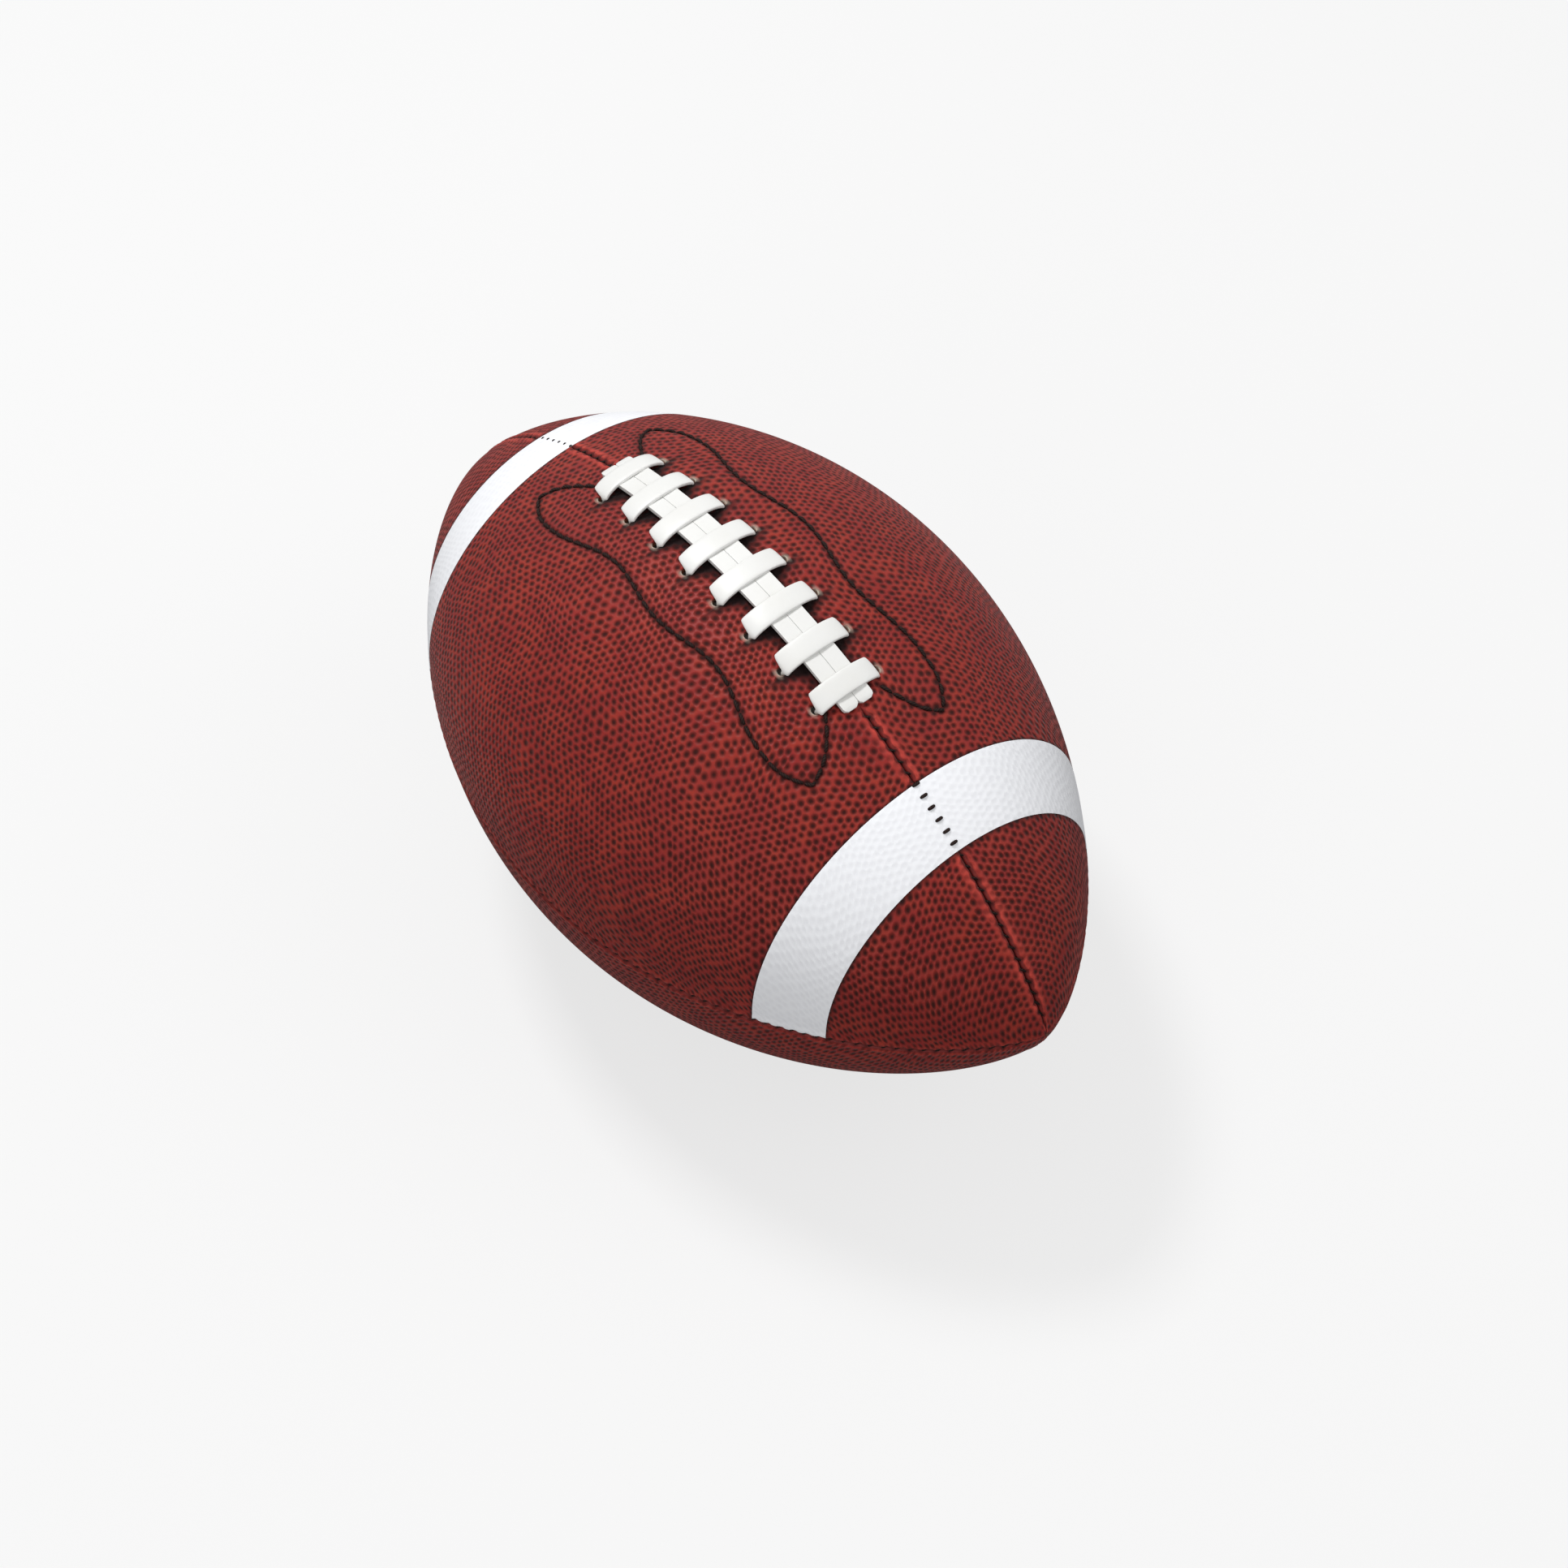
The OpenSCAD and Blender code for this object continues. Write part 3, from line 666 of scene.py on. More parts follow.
def thread_material(stitch):
    """Waxed black thread: its strands wind round it, so a wave runs slantwise over the surface map, and
    painted shade darkens the gaps between the strands.
    """
    material, tree = new_material("waxed_thread")
    surface = parts_of(tree, surface_place(tree))
    along = maths(tree, "DIVIDE", surface["X"], STRAND_STEP)
    wind = maths(tree, "ADD", along, times(tree, surface["Y"], STRAND_COUNT))
    strands = maths(tree, "ABSOLUTE", maths(tree, "SINE", times(tree, wind, math.pi)))
    colour = blend_colours(tree, strands, stitch.strand_shade_colour, stitch.colour)
    finish_material(tree, colour, bump(tree, strands, 0.12 * MM), roughness=0.6, specular_ior_level=0.12)
    return material


def cloth_material():
    """Laminated cotton cloth: the product of two crossed waves, darker by painted shade where the weave is
    low.
    """
    material, tree = new_material("lining_cloth")
    place_parts = parts_of(tree, object_place(tree))
    yarn = 2 * math.pi / YARN_SPACING
    across = maths(tree, "ADD", place_parts["Y"], place_parts["Z"])
    warp = maths(tree, "SINE", times(tree, place_parts["X"], yarn))
    weft = maths(tree, "SINE", times(tree, across, yarn))
    weave = span(tree, times(tree, warp, weft), -1, 1)
    colour = blend_colours(tree, weave, *GAP_SHADE_AND_YARN_COLOURS)
    finish_material(tree, colour, bump(tree, weave, 0.15 * MM), roughness=0.9)
    return material


def plain_material(name, dark, light, spacing, depth, roughness):
    """Leather or rubber without a print: two tones and a relief from one noise."""
    material, tree = new_material(name)
    pattern = noise(tree, object_place(tree), spacing, 4.0)[0]
    colour = blend_colours(tree, span(tree, pattern, 0.3, 0.7), dark, light)
    finish_material(tree, colour, bump(tree, pattern, depth), roughness=roughness)
    return material


# Cover panels


# Rows of a panel's grid: to each cross lace, from the lacing to the stripe, on it and on to the nose
ROWS_PER_LACE, ROWS_TO_STRIPE, STRIPE_ROWS, NOSE_ROWS = 16, 27, 22, 52

# The turn of the outline at the last row, and how far a stripe's two close rows lie from its edge
LAST_ROW_TURN = math.radians(87.6)
STRIPE_EDGE = 0.05 * MM

# Columns: to the lace holes, in all at that step, beyond those, and on a back panel's open face. Then a
# seam's columns: on its rounded shoulder and beyond it.
HOLE_COLUMNS, FINE_COLUMNS, WIDE_COLUMNS, BACK_COLUMNS = 7, 30, 54, 97
SHOULDER_STEPS, RIM_STEPS = 8, 5

# A seam's stitches: their slant, the mean and swing of their pull, and its slow waves, each as its
# length in stitches and its shifts from seam to seam and from side to side
SEAM_SLANT = 0.22
PULL_MEAN = 0.72
PULL_SWING = 0.14
PULL_WAVES = ((3.3, 1.7, 2.4), (7.1, 0.9, -1.3))

# Shares of a seam's forms that are left where it lies flat
CALM_GAP = 0.2
CALM_DEPTH = 0.08
CALM_WIDTH = 0.3
CALM_CREASE = 0.3

# Shares: of the crease's depth that is left between stitches, of the swelling that a stitch takes
# away, of the swelling's painted highlight on the side seams, and of the shoulder's width on the inner face
SLACK_DEPTH = 0.75
PULLED_RIM = 0.6
SIDE_LIP_HIGHLIGHT = 0.4
INNER_SHOULDER = 0.6

# The share of the shoulder's depth above which the leather swells
SWELLING_DEPTH = 0.9

# Where a seam's dark crease, partly dye and partly painted shade, starts and ends its fading, and what a
# stitch adds to each
CREASE_FADE = (0.55 * MM, 1.05 * MM)
PULLED_FADE = (0.6 * MM, 0.9 * MM)

# Over what lengths a seam goes flat beside the lacing and the stripes
LACE_CALM_FADE = 3 * MM
STRIPE_CALM_FADE = 1 * MM

# Rings of cells taken out at a hole, and blended round it
HOLE_RING, BLEND_RINGS = 3, 4

# The bevels of the lace holes and the valve hole, and the gap round the valve's stem
HOLE_BEVEL = 0.3 * MM
VALVE_BEVEL = 0.5 * MM
VALVE_CLEARANCE = 0.25 * MM

# A hole's bevel: its width and depth as shares of its size, how pale its outer ring is, and where
# round the hole the pale cut edge fades in, as the sine of the turn
BEVEL_WIDTH_SHARE = 1.1
BEVEL_DEPTH_SHARE = 0.8
BEVEL_PALENESS = 0.4
PALE_FADE = (0.4, 1.0)

# The least value under the root of the film's rounding, and how deep in the recess its inner face
# lies, as a share
FILM_LEAST_ROUNDING = 0.05
FILM_FILL = 0.8

# The film's rounded edge, how far below the leather that starts, and the seam columns it leaves free
FILM_EDGE = 0.5 * MM
FILM_START = 0.02 * MM
FILM_WRAP = 3

# How far apart the panels lie on the surface map
PANEL_MAP_STEP = 0.4

# The contour line's points beside the lacing, on each half of its ends, and along its groove
CONTOUR_RUN_POINTS, CONTOUR_END_POINTS, GROOVE_POINTS = 120, 24, 500

# How far the line back to the lacing bulges, as a share of its reach
CONTOUR_BULGE = 0.12

# How dark the painted shade is beside a strand, along the contour stitching and at a stripe's edge
STRAND_SHADE = 0.85
CONTOUR_SHADE = 0.9
STRIPE_SHADE = 0.8

# Where the shade fades: beside a strand, before and past a cross lace's side, and at a stripe's edge.
# Past a cross lace, the distance from the strand counts too, by the last share.
STRAND_FADE = (1.0 * MM, 4.8 * MM)
CROSS_RISE = (-2 * MM, -1 * MM)
CROSS_FADE = (2.4 * MM, 6.5 * MM)
STRIPE_FADE = (0, 0.8 * MM)
CROSS_LEAN_SHARE = 0.45


def panel_rows(football):
    """Places of a panel's rows from nose to nose. Through the lacing the step is a share of the lace
    pitch, so that rows pass through the holes, and beyond it the turn of the outline is stepped evenly
    to each edge of the stripe, which has two close rows, and to the nose."""
    half_length, lace = football.cover.ball_length / 2, football.lace
    step = lace.pitch / ROWS_PER_LACE
    lacing = np.arange(lace.count * ROWS_PER_LACE // 2) * step
    stripe_start, stripe_end = stripe_edges(football)
    stops = [
        (lacing[-1] + step, ROWS_TO_STRIPE),
        (stripe_start - STRIPE_EDGE, 1),
        (stripe_start + STRIPE_EDGE, STRIPE_ROWS),
        (stripe_end - STRIPE_EDGE, 1),
        (stripe_end + STRIPE_EDGE, NOSE_ROWS),
    ]
    turns = [math.asin(x / half_length) for x, _ in stops] + [LAST_ROW_TURN]
    ends = [
        half_length * np.sin(np.linspace(turns[i], turns[i + 1], rows, endpoint=False))
        for i, (_, rows) in enumerate(stops)
    ]
    half = np.concatenate([lacing, *ends, [half_length * math.sin(LAST_ROW_TURN)]])
    return np.concatenate([-half[:0:-1], half])


def lace_columns(football):
    """Shares of the open face from the top seam to the side seam: narrow steps that pass through the
    lace holes and reach past the contour stitching, then wider ones."""
    cover = football.cover
    radius = cover.belly_diameter / 2
    start = belly_angle(cover, cover.seam_reach) * radius
    width = QUARTER_TURN * radius - 2 * start
    hole = belly_angle(cover, football.lace.hole_spacing / 2) * radius
    step = (hole - start) / HOLE_COLUMNS
    fine = np.arange(FINE_COLUMNS) * step
    return np.concatenate([fine, np.linspace(FINE_COLUMNS * step, width, WIDE_COLUMNS)]) / width


def top_calm(football, rows):
    """1 where the top seam lies flat: under the lace and across the stripes."""
    lace = football.lace
    lacing = half_lacing(lace) + lace.width / 2 + lace.strand_tail
    stripe_start, stripe_end = stripe_edges(football)
    reach = np.abs(rows)
    under_lace = 1 - smooth_step(reach, lacing, lacing + LACE_CALM_FADE)
    on_stripe = smooth_step(reach, stripe_start - STRIPE_CALM_FADE, stripe_start)
    on_stripe *= 1 - smooth_step(reach, stripe_end, stripe_end + STRIPE_CALM_FADE)
    return np.maximum(under_lace, on_stripe)


def seam_pull(cover, rows, seam, ahead):
    """How strongly the stitches pull at each row, from 0 to 1: a cosine of the stitch pitch, squared,
    and shifted to opposite sides by the two panels of a seam, because the thread crosses it at a slant.
    Its strength swings along slow waves that differ from seam to seam and from side to side."""
    arc = outline_arc(cover, rows) / cover.seam_stitch - SEAM_SLANT * ahead
    swing = sum(
        np.sin(2 * math.pi * arc / wave + by_seam * seam + by_side * ahead)
        for wave, by_seam, by_side in PULL_WAVES
    )
    return (0.5 + 0.5 * np.cos(2 * math.pi * arc)) ** 2 * (PULL_MEAN + PULL_SWING * swing)


def seam_profile(cover, rows, pull, calm):
    """A panel's edge columns, out from the turned-in end: their distance from the seam's plane and
    their height, the same of the inner face, and the shares of swelling, which also paints a highlight
    on the lips, of dark crease, which is partly dye and partly painted shade, and of the painted shade
    where a stitch pulls the crease open.

    The wall stands half a seam gap from the seam's plane. A quarter of an ellipse rounds it over to the
    outer face, wider and deeper where a stitch pulls, and a bell-shaped swelling follows it. Where calm
    is 1, the edge is narrow, shallow and flat. Towards the noses all of it shrinks with the radius."""
    shrink = nose_shrink(cover, outline(cover, rows)[0])[:, None]
    thickness = cover.leather_thickness
    active = (1 - calm)[:, None]
    pull = pull[:, None] * active
    gap = cover.seam_gap / 2 * (CALM_GAP + (1 - CALM_GAP) * active)
    depth = cover.crease_depth * (CALM_DEPTH + (1 - CALM_DEPTH) * active)
    depth = depth * (SLACK_DEPTH + (1 - SLACK_DEPTH) * pull)
    width = cover.shoulder_width * (CALM_WIDTH + (1 - CALM_WIDTH) * active) + cover.pucker_width * pull
    turn = np.linspace(0, QUARTER_TURN, SHOULDER_STEPS)
    flat = np.linspace(0, 1, RIM_STEPS + 1)[1:]

    def across(start, width):
        """Distances of the wall's two columns, the shoulder's and those beyond it."""
        beyond = start + width + (cover.seam_reach - start - width) * flat
        return np.concatenate([start.repeat(2, axis=1), start + width * (1 - np.cos(turn)), beyond], 1)

    low = np.full_like(depth, -cover.seam_allowance)
    shoulder = -depth * (1 - np.sin(turn))
    level = np.zeros((len(rows), RIM_STEPS))
    height = np.concatenate([low, (low - depth) / 2, shoulder, level], 1)
    inner_height = np.concatenate([
        low, (low - thickness - depth) / 2, shoulder - thickness, level - thickness,
    ], 1)
    distance = across(gap, width)
    crest = gap + width + 0.5 * cover.rim_width
    # The swelling raises the leather, and as the rim share it also paints a highlight on the lips
    swelling = np.exp(-(((distance - crest) / cover.rim_width) ** 2)) * active * (1 - PULLED_RIM * pull)
    height = height + cover.rim_height * swelling * (height > -depth * SWELLING_DEPTH)
    # The dark crease is partly dye and partly painted shade, and where a stitch pulls it open, the groove
    # share paints a deeper shade
    fade_start, fade_end = (slack + pulled * pull for slack, pulled in zip(CREASE_FADE, PULLED_FADE))
    crease = 1 - smooth_step(distance, fade_start, fade_end)
    crease = crease * (CALM_CREASE + (1 - CALM_CREASE) * active)
    return {
        "distance": distance * shrink,
        "height": height * shrink,
        "inner_distance": across(gap + thickness, INNER_SHOULDER * width) * shrink,
        "inner_height": inner_height * shrink,
        "rim": swelling,
        "crease": crease,
        "groove": crease * pull,
    }


def panel_grid(football, right, back):
    """The grid of a panel as its upper left form, a dictionary of arrays: x, angle and height, the same
    of the inner face, and what the leather's material reads. It runs from its edge along the top seam
    over the open face to its edge along the side seam. A back panel's top seam is the ball's bottom."""
    cover = football.cover
    rows = panel_rows(football)
    radius = outline(cover, rows)[0][:, None]
    calm = np.zeros_like(rows) if back else top_calm(football, rows)
    ahead = 1 if right == back else -1
    middle = seam_profile(cover, rows, seam_pull(cover, rows, 3 if back else 0, ahead), calm)
    side = seam_profile(cover, rows, seam_pull(cover, rows, 1 if right else 2, -ahead), 0 * rows)
    # The side seams' lips get less painted highlight
    side["rim"] = SIDE_LIP_HIGHLIGHT * side["rim"]
    for key in ("distance", "inner_distance"):
        middle[key.replace("distance", "angle")] = np.arcsin(middle[key] / radius)
        side[key.replace("distance", "angle")] = QUARTER_TURN - np.arcsin(side[key] / radius)
    start, end = middle["angle"][:, -1:], side["angle"][:, -1:]
    shares = np.linspace(0, 1, BACK_COLUMNS) if back else lace_columns(football)
    face = start + (end - start) * shares[1:-1]
    level = 0 * face
    open_face = {
        "angle": face, "height": level, "inner_angle": face,
        "inner_height": level + middle["inner_height"][:, -1:],
        "rim": level, "crease": level, "groove": level,
    }
    grid = {
        key: np.concatenate([middle[key], values, side[key][:, ::-1]], 1)
        for key, values in open_face.items()
    }
    grid["x"] = np.repeat(rows[:, None], grid["angle"].shape[1], 1)
    grid["cut"] = np.zeros_like(grid["x"])
    grid["keep"] = np.ones((grid["x"].shape[0] - 1, grid["x"].shape[1] - 1), bool)
    return grid


def around_ball(cover, grid):
    """Distance round the ball from the top seam: the radius times the angle."""
    return outline(cover, grid["x"])[0] * grid["angle"]


def surface_map(cover, grid, panel):
    """A panel's surface map: the distances along the outline and round the ball, each panel's moved on
    by its number so that no two panels have the same grain."""
    return np.stack([outline_arc(cover, grid["x"]) + PANEL_MAP_STEP * panel, around_ball(cover, grid)], -1)


def punch_hole(cover, grid, x, angle, radius, bevel):
    """Opens a round hole in a panel's grid. The cells nearest the centre go, the ring of vertices round
    them moves onto the hole's circle, the next one onto its bevel, and the rings beyond blend back to
    the grid. The cut edge shows pale on the side away from the top seam."""
    row = int(np.abs(grid["x"][:, 0] - x).argmin())
    column = int(np.abs(grid["angle"][row] - angle).argmin())
    reach = HOLE_RING + BLEND_RINGS
    steps = np.arange(-reach, reach + 1)
    down, over = np.meshgrid(steps, steps, indexing="ij")
    ring = np.maximum(np.abs(down), np.abs(over))
    turn = np.arctan2(over, down)
    circle = radius + BEVEL_WIDTH_SHARE * bevel * np.clip(ring - HOLE_RING, 0, None)
    belly, slope = outline(cover, x)
    share = smooth_step(ring, HOLE_RING + 1, reach)
    area = (slice(row - reach, row + reach + 1), slice(column - reach, column + reach + 1))
    ring_x = x + circle * np.cos(turn) / math.sqrt(1 + slope**2)
    ring_angle = angle + circle * np.sin(turn) / belly
    for key, goal in (("x", ring_x), ("angle", ring_angle), ("inner_angle", ring_angle)):
        grid[key][area] = goal + (grid[key][area] - goal) * share
    grid["height"][area] -= BEVEL_DEPTH_SHARE * bevel * (ring <= HOLE_RING)
    pale = np.where(ring <= HOLE_RING, 1.0, np.where(ring == HOLE_RING + 1, BEVEL_PALENESS, 0.0))
    grid["cut"][area] += smooth_step(np.sin(turn), *PALE_FADE) * pale
    cells = (slice(row - HOLE_RING, row + HOLE_RING), slice(column - HOLE_RING, column + HOLE_RING))
    grid["keep"][cells] = False


def contour_line(football, right):
    """Points (x, distance round the ball from the top seam) of the contour stitching: a cosine wave
    beside the lacing, a falling parabola out to each corner, and a bulged line back to the lacing. The
    right line's front corner lies a little nearer to the belly and further out, as in the photograph."""
    stitch, lace = football.stitch, football.lace
    run_end = half_lacing(lace) + lace.width / 2 + lace.strand_tail / 2
    corner = half_lacing(lace) + stitch.corner_reach
    run_x = np.linspace(-run_end, run_end, CONTOUR_RUN_POINTS)
    run = stitch.contour_distance + stitch.contour_wave * np.cos(2 * math.pi * run_x / stitch.wave_length)
    t = np.linspace(0, 1, CONTOUR_END_POINTS)[1:]
    out_x = run_end + (corner - run_end) * t
    out = run[-1] + (stitch.corner_distance - run[-1]) * t * t
    fall = stitch.corner_distance - stitch.end_distance
    bulge = CONTOUR_BULGE * (corner - run_end + fall) * np.sin(math.pi * t)
    back_x = corner - (corner - run_end) * t + bulge
    back = stitch.corner_distance - fall * t
    end_x, end = np.concatenate([out_x, back_x]), np.concatenate([out, back])
    line_x = np.concatenate([-end_x[::-1], run_x, end_x])
    line_s = np.concatenate([end[::-1], run, end])
    drift = stitch.right_drift * right * smooth_step(line_x, 0, corner)
    return line_x - drift, line_s + drift * smooth_step(line_s, stitch.end_distance, stitch.corner_distance)


def press_lacing(football, grid):
    """Sinks the leather under the tied lace by a bell-shaped valley along the slit, which fades out
    past the last cross laces. Beside the strands, and along each cross lace's side towards +X, a
    painted shadow of the lace darkens the leather."""
    lace = football.lace
    lacing = half_lacing(lace)
    around = around_ball(football.cover, grid)
    along = 1 - smooth_step(np.abs(grid["x"]), lacing, lacing + lace.strand_tail)
    grid["height"] -= lace.press_depth * along * np.exp(-((around / lace.press_width) ** 2))
    beside = around - lace.strand_gap / 2 - lace.strand_width
    past = (grid["x"] + lacing + lace.pitch / 2) % lace.pitch - lace.pitch / 2 - lace.width / 2
    corner = past + CROSS_LEAN_SHARE * np.maximum(beside, 0)
    # Painted shadow of the lace beside the strands and past each cross lace
    by_strand = STRAND_SHADE * (1 - smooth_step(beside, *STRAND_FADE))
    by_lace = smooth_step(past, *CROSS_RISE) * (1 - smooth_step(corner, *CROSS_FADE))
    shade = along * np.maximum(by_strand, by_lace)
    grid["groove"] = np.maximum(grid["groove"], shade)


def paint_stripe_edge_shade(football, grid):
    """Paints a thin shade into the leather along the edges of each stripe, beside the film's edge."""
    reach = np.abs(grid["x"])
    edge = np.minimum(*(np.abs(reach - stripe_edge) for stripe_edge in stripe_edges(football)))
    grid["groove"] = np.maximum(grid["groove"], STRIPE_SHADE * (1 - smooth_step(edge, *STRIPE_FADE)))


def press_contour(football, grid, right):
    """Lowers the leather along the contour stitching by a bell-shaped groove of the distance to it, and
    paints shade into that groove by the same bell.
    """
    stitch = football.stitch
    line_x, line_s = contour_line(football, right)
    run = run_along(line_x, line_s)
    even = np.linspace(0, run[-1], GROOVE_POINTS)
    around = around_ball(football.cover, grid)
    nearest = np.full(around.shape, np.inf)
    for point_x, point_s in zip(np.interp(even, run, line_x), np.interp(even, run, line_s)):
        nearest = np.minimum(nearest, (grid["x"] - point_x) ** 2 + (around - point_s) ** 2)
    bell = np.exp(-nearest / stitch.groove_width**2)
    grid["height"] -= stitch.groove_depth * bell
    # Painted shade in the groove beside the stitches
    grid["groove"] = np.maximum(grid["groove"], CONTOUR_SHADE * bell)


def recess_stripes(football, outer, rows):
    """Sinks the leather under each stripe along its normal."""
    start, end = stripe_edges(football)
    under = (np.abs(rows) > start) & (np.abs(rows) < end)
    outer[under] -= football.stripe.recess * grid_normals(outer)[under]


def add_panel(football, name, right, back, material):
    """One sewn panel: a closed shell between its outer and inner face, with its edges turned in and its
    holes punched. Its material reads flesh as 1 on the inner face."""
    cover, lace = football.cover, football.lace
    grid = panel_grid(football, right, back)
    if not back:
        hole_angle = belly_angle(cover, lace.hole_spacing / 2)
        for i in range(lace.count):
            x = (i - (lace.count - 1) / 2) * lace.pitch + lace.hole_shift
            punch_hole(cover, grid, x, hole_angle, lace.hole_diameter / 2, HOLE_BEVEL)
        press_lacing(football, grid)
        press_contour(football, grid, right)
        paint_stripe_edge_shade(football, grid)
    elif right:
        valve_radius = football.valve.stem_diameter / 2 + VALVE_CLEARANCE
        punch_hole(cover, grid, 0.0, QUARTER_TURN / 2, valve_radius, VALVE_BEVEL)
    outer = on_ball(cover, grid["x"], grid["angle"], grid["height"])
    if not back:
        recess_stripes(football, outer, grid["x"][:, 0])
    inner = on_ball(cover, grid["x"], grid["inner_angle"], grid["inner_height"])
    tip = cover.ball_length / 2
    poles = np.array([[-tip, 0, 0], [tip, 0, 0]])
    points, quads, triangles = shell(outer, inner, grid["keep"], poles)
    uv = surface_map(cover, grid, 1 + right + 2 * back).reshape(-1, 2)
    uv = np.concatenate([uv, uv, np.zeros((2, 2))])
    blank = np.zeros(grid["x"].size + len(poles))
    layers = {key: np.concatenate([grid[key].ravel(), blank]) for key in ("rim", "cut", "crease", "groove")}
    layers["flesh"] = np.concatenate([0 * grid["x"].ravel(), blank + 1])
    add_piece(
        "leather_" + name, ["cover_panel_" + name], place(points, right, back), quads,
        triangles, material, uv, layers, flip=right != back,
    )


def add_stripe(football, name, front, right, material):
    """The film of one stripe half: the leather's own surface between two rows, raised along its normal
    on the outside and sunk on the inside, which wraps round the panel's edges into both creases."""
    cover, stripe = football.cover, football.stripe
    grid = panel_grid(football, right, False)
    rows = grid["x"][:, 0]
    surface = on_ball(cover, grid["x"], grid["angle"], grid["height"])
    start, end = stripe_edges(football)
    reach = rows if front else -rows
    inside = np.flatnonzero((reach > start) & (reach < end))
    area = (slice(inside[0], inside[-1] + 1), slice(FILM_WRAP, -FILM_WRAP))
    surface, normals = surface[area], grid_normals(surface)[area]
    edge = np.minimum(reach[inside] - start, end - reach[inside])
    rounded = np.sqrt(np.clip(edge / FILM_EDGE, FILM_LEAST_ROUNDING, 1))[:, None, None]
    outer = surface + (stripe.rise * rounded - FILM_START) * normals
    inner = surface - FILM_FILL * stripe.recess * normals
    points, quads, triangles = shell(outer, inner, np.ones((outer.shape[0] - 1, outer.shape[1] - 1), bool))
    uv = surface_map(cover, grid, 1 + right)[area].reshape(-1, 2)
    add_piece(
        "film_" + name, ["stripe_" + name], place(points, right), quads, triangles,
        material, np.concatenate([uv, uv]), flip=right,
    )


# Lace


# The rings along a strand, a cross lace and an inner run, the points round it, and how square it is
STRAND_RINGS, STRAND_ROUND, STRAND_SQUARENESS = 181, 40, 0.93
CROSS_RINGS, CROSS_ROUND, CROSS_SQUARENESS = 103, 28, 0.5
INNER_RINGS, INNER_ROUND, INNER_SQUARENESS = 61, 16, 0.5

# A strand's tapered end, and its width and thickness there as shares
STRAND_TAPER = 1.6 * MM
TAPER_WIDTH_SHARE = 0.55
TAPER_HEIGHT_SHARE = 0.5

# The powers of the cross lace's arch, the points that draw it, and the rings of its running mean
ARCH_FULLNESS = 2.3
ARCH_ROUNDING = 0.6
ARCH_POINTS = 800
CROSS_MEAN = 7

# How deep in the hole the cross lace is fully gathered, and how much that thins it
GATHERED_DEPTH = 0.6 * MM
GATHERED_THINNING = 0.3

# Where its angle goes over to the holes', from the seam's plane, and its leg from round to flat, from
# the leather's surface
HOLE_ANGLE_FADE = (4 * MM, 10 * MM)
ROUND_LEG_FADE = (-2 * MM, -0.5 * MM)

LENGTHWISE = (1.0, 0.0, 0.0)
SIDEWAYS = (0.0, 1.0, 0.0)


def lace_strands(football):
    """The two strands over the slit: flat bands a constant distance from the seam's plane, whose ends
    round off along a quarter of an ellipse."""
    cover, lace = football.cover, football.lace
    end = half_lacing(lace) + lace.width / 2 + lace.strand_tail
    x = np.linspace(-end, end, STRAND_RINGS)[None].repeat(2, 0)
    radius, _ = outline(cover, x)
    angle = np.arcsin((lace.strand_gap + lace.strand_width) / 2 / radius) * np.array([[1], [-1]])
    close = np.clip((end - np.abs(x)) / STRAND_TAPER, 0, 1)
    rounded = np.sqrt(1 - (1 - close) ** 2)
    centre = on_ball(cover, x, angle, lace.lift + lace.thickness / 2)
    half_width = lace.strand_width / 2 * (TAPER_WIDTH_SHARE + (1 - TAPER_WIDTH_SHARE) * rounded)
    half_height = lace.thickness / 2 * (TAPER_HEIGHT_SHARE + (1 - TAPER_HEIGHT_SHARE) * rounded)
    return tubes(centre, SIDEWAYS, half_width, half_height, STRAND_SQUARENESS, STRAND_ROUND)


def cross_lace_path(football):
    """Distance from the seam's plane and height of a cross lace at even steps from end to end, how far
    it is gathered there, and how far along it the leather's surface still is.

    It arches over the strands, where its height falls off as 1 - (distance / leg's distance)^2.3, to
    the power 0.6, and goes straight down in each hole. A running mean rounds the bends."""
    lace = football.lace
    leg = lace.hole_spacing / 2 - lace.leg_inset
    top = lace.lift + 1.5 * lace.thickness - lace.bite
    share = np.sin(np.linspace(-QUARTER_TURN, QUARTER_TURN, ARCH_POINTS))
    distance = leg * np.concatenate([[-1.0], share, [1.0]])
    arch = top * np.maximum(1 - np.abs(share) ** ARCH_FULLNESS, 0) ** ARCH_ROUNDING
    height = np.concatenate([[-lace.leg_depth], arch, [-lace.leg_depth]])
    run = run_along(distance, height)
    even = np.linspace(0, run[-1], CROSS_RINGS)
    path = np.stack([np.interp(even, run, distance), np.interp(even, run, height)])
    half_mean = CROSS_MEAN // 2
    padded = np.pad(path, ((0, 0), (half_mean, half_mean)), mode="reflect", reflect_type="odd")
    distance, height = np.lib.stride_tricks.sliding_window_view(padded, CROSS_MEAN, axis=1).mean(axis=-1)
    to_surface = run[-2] - np.abs(even - run[-1] / 2) - run[-1] / 2
    return distance, height, 1 - smooth_step(to_surface, -GATHERED_DEPTH, lace.gather), to_surface


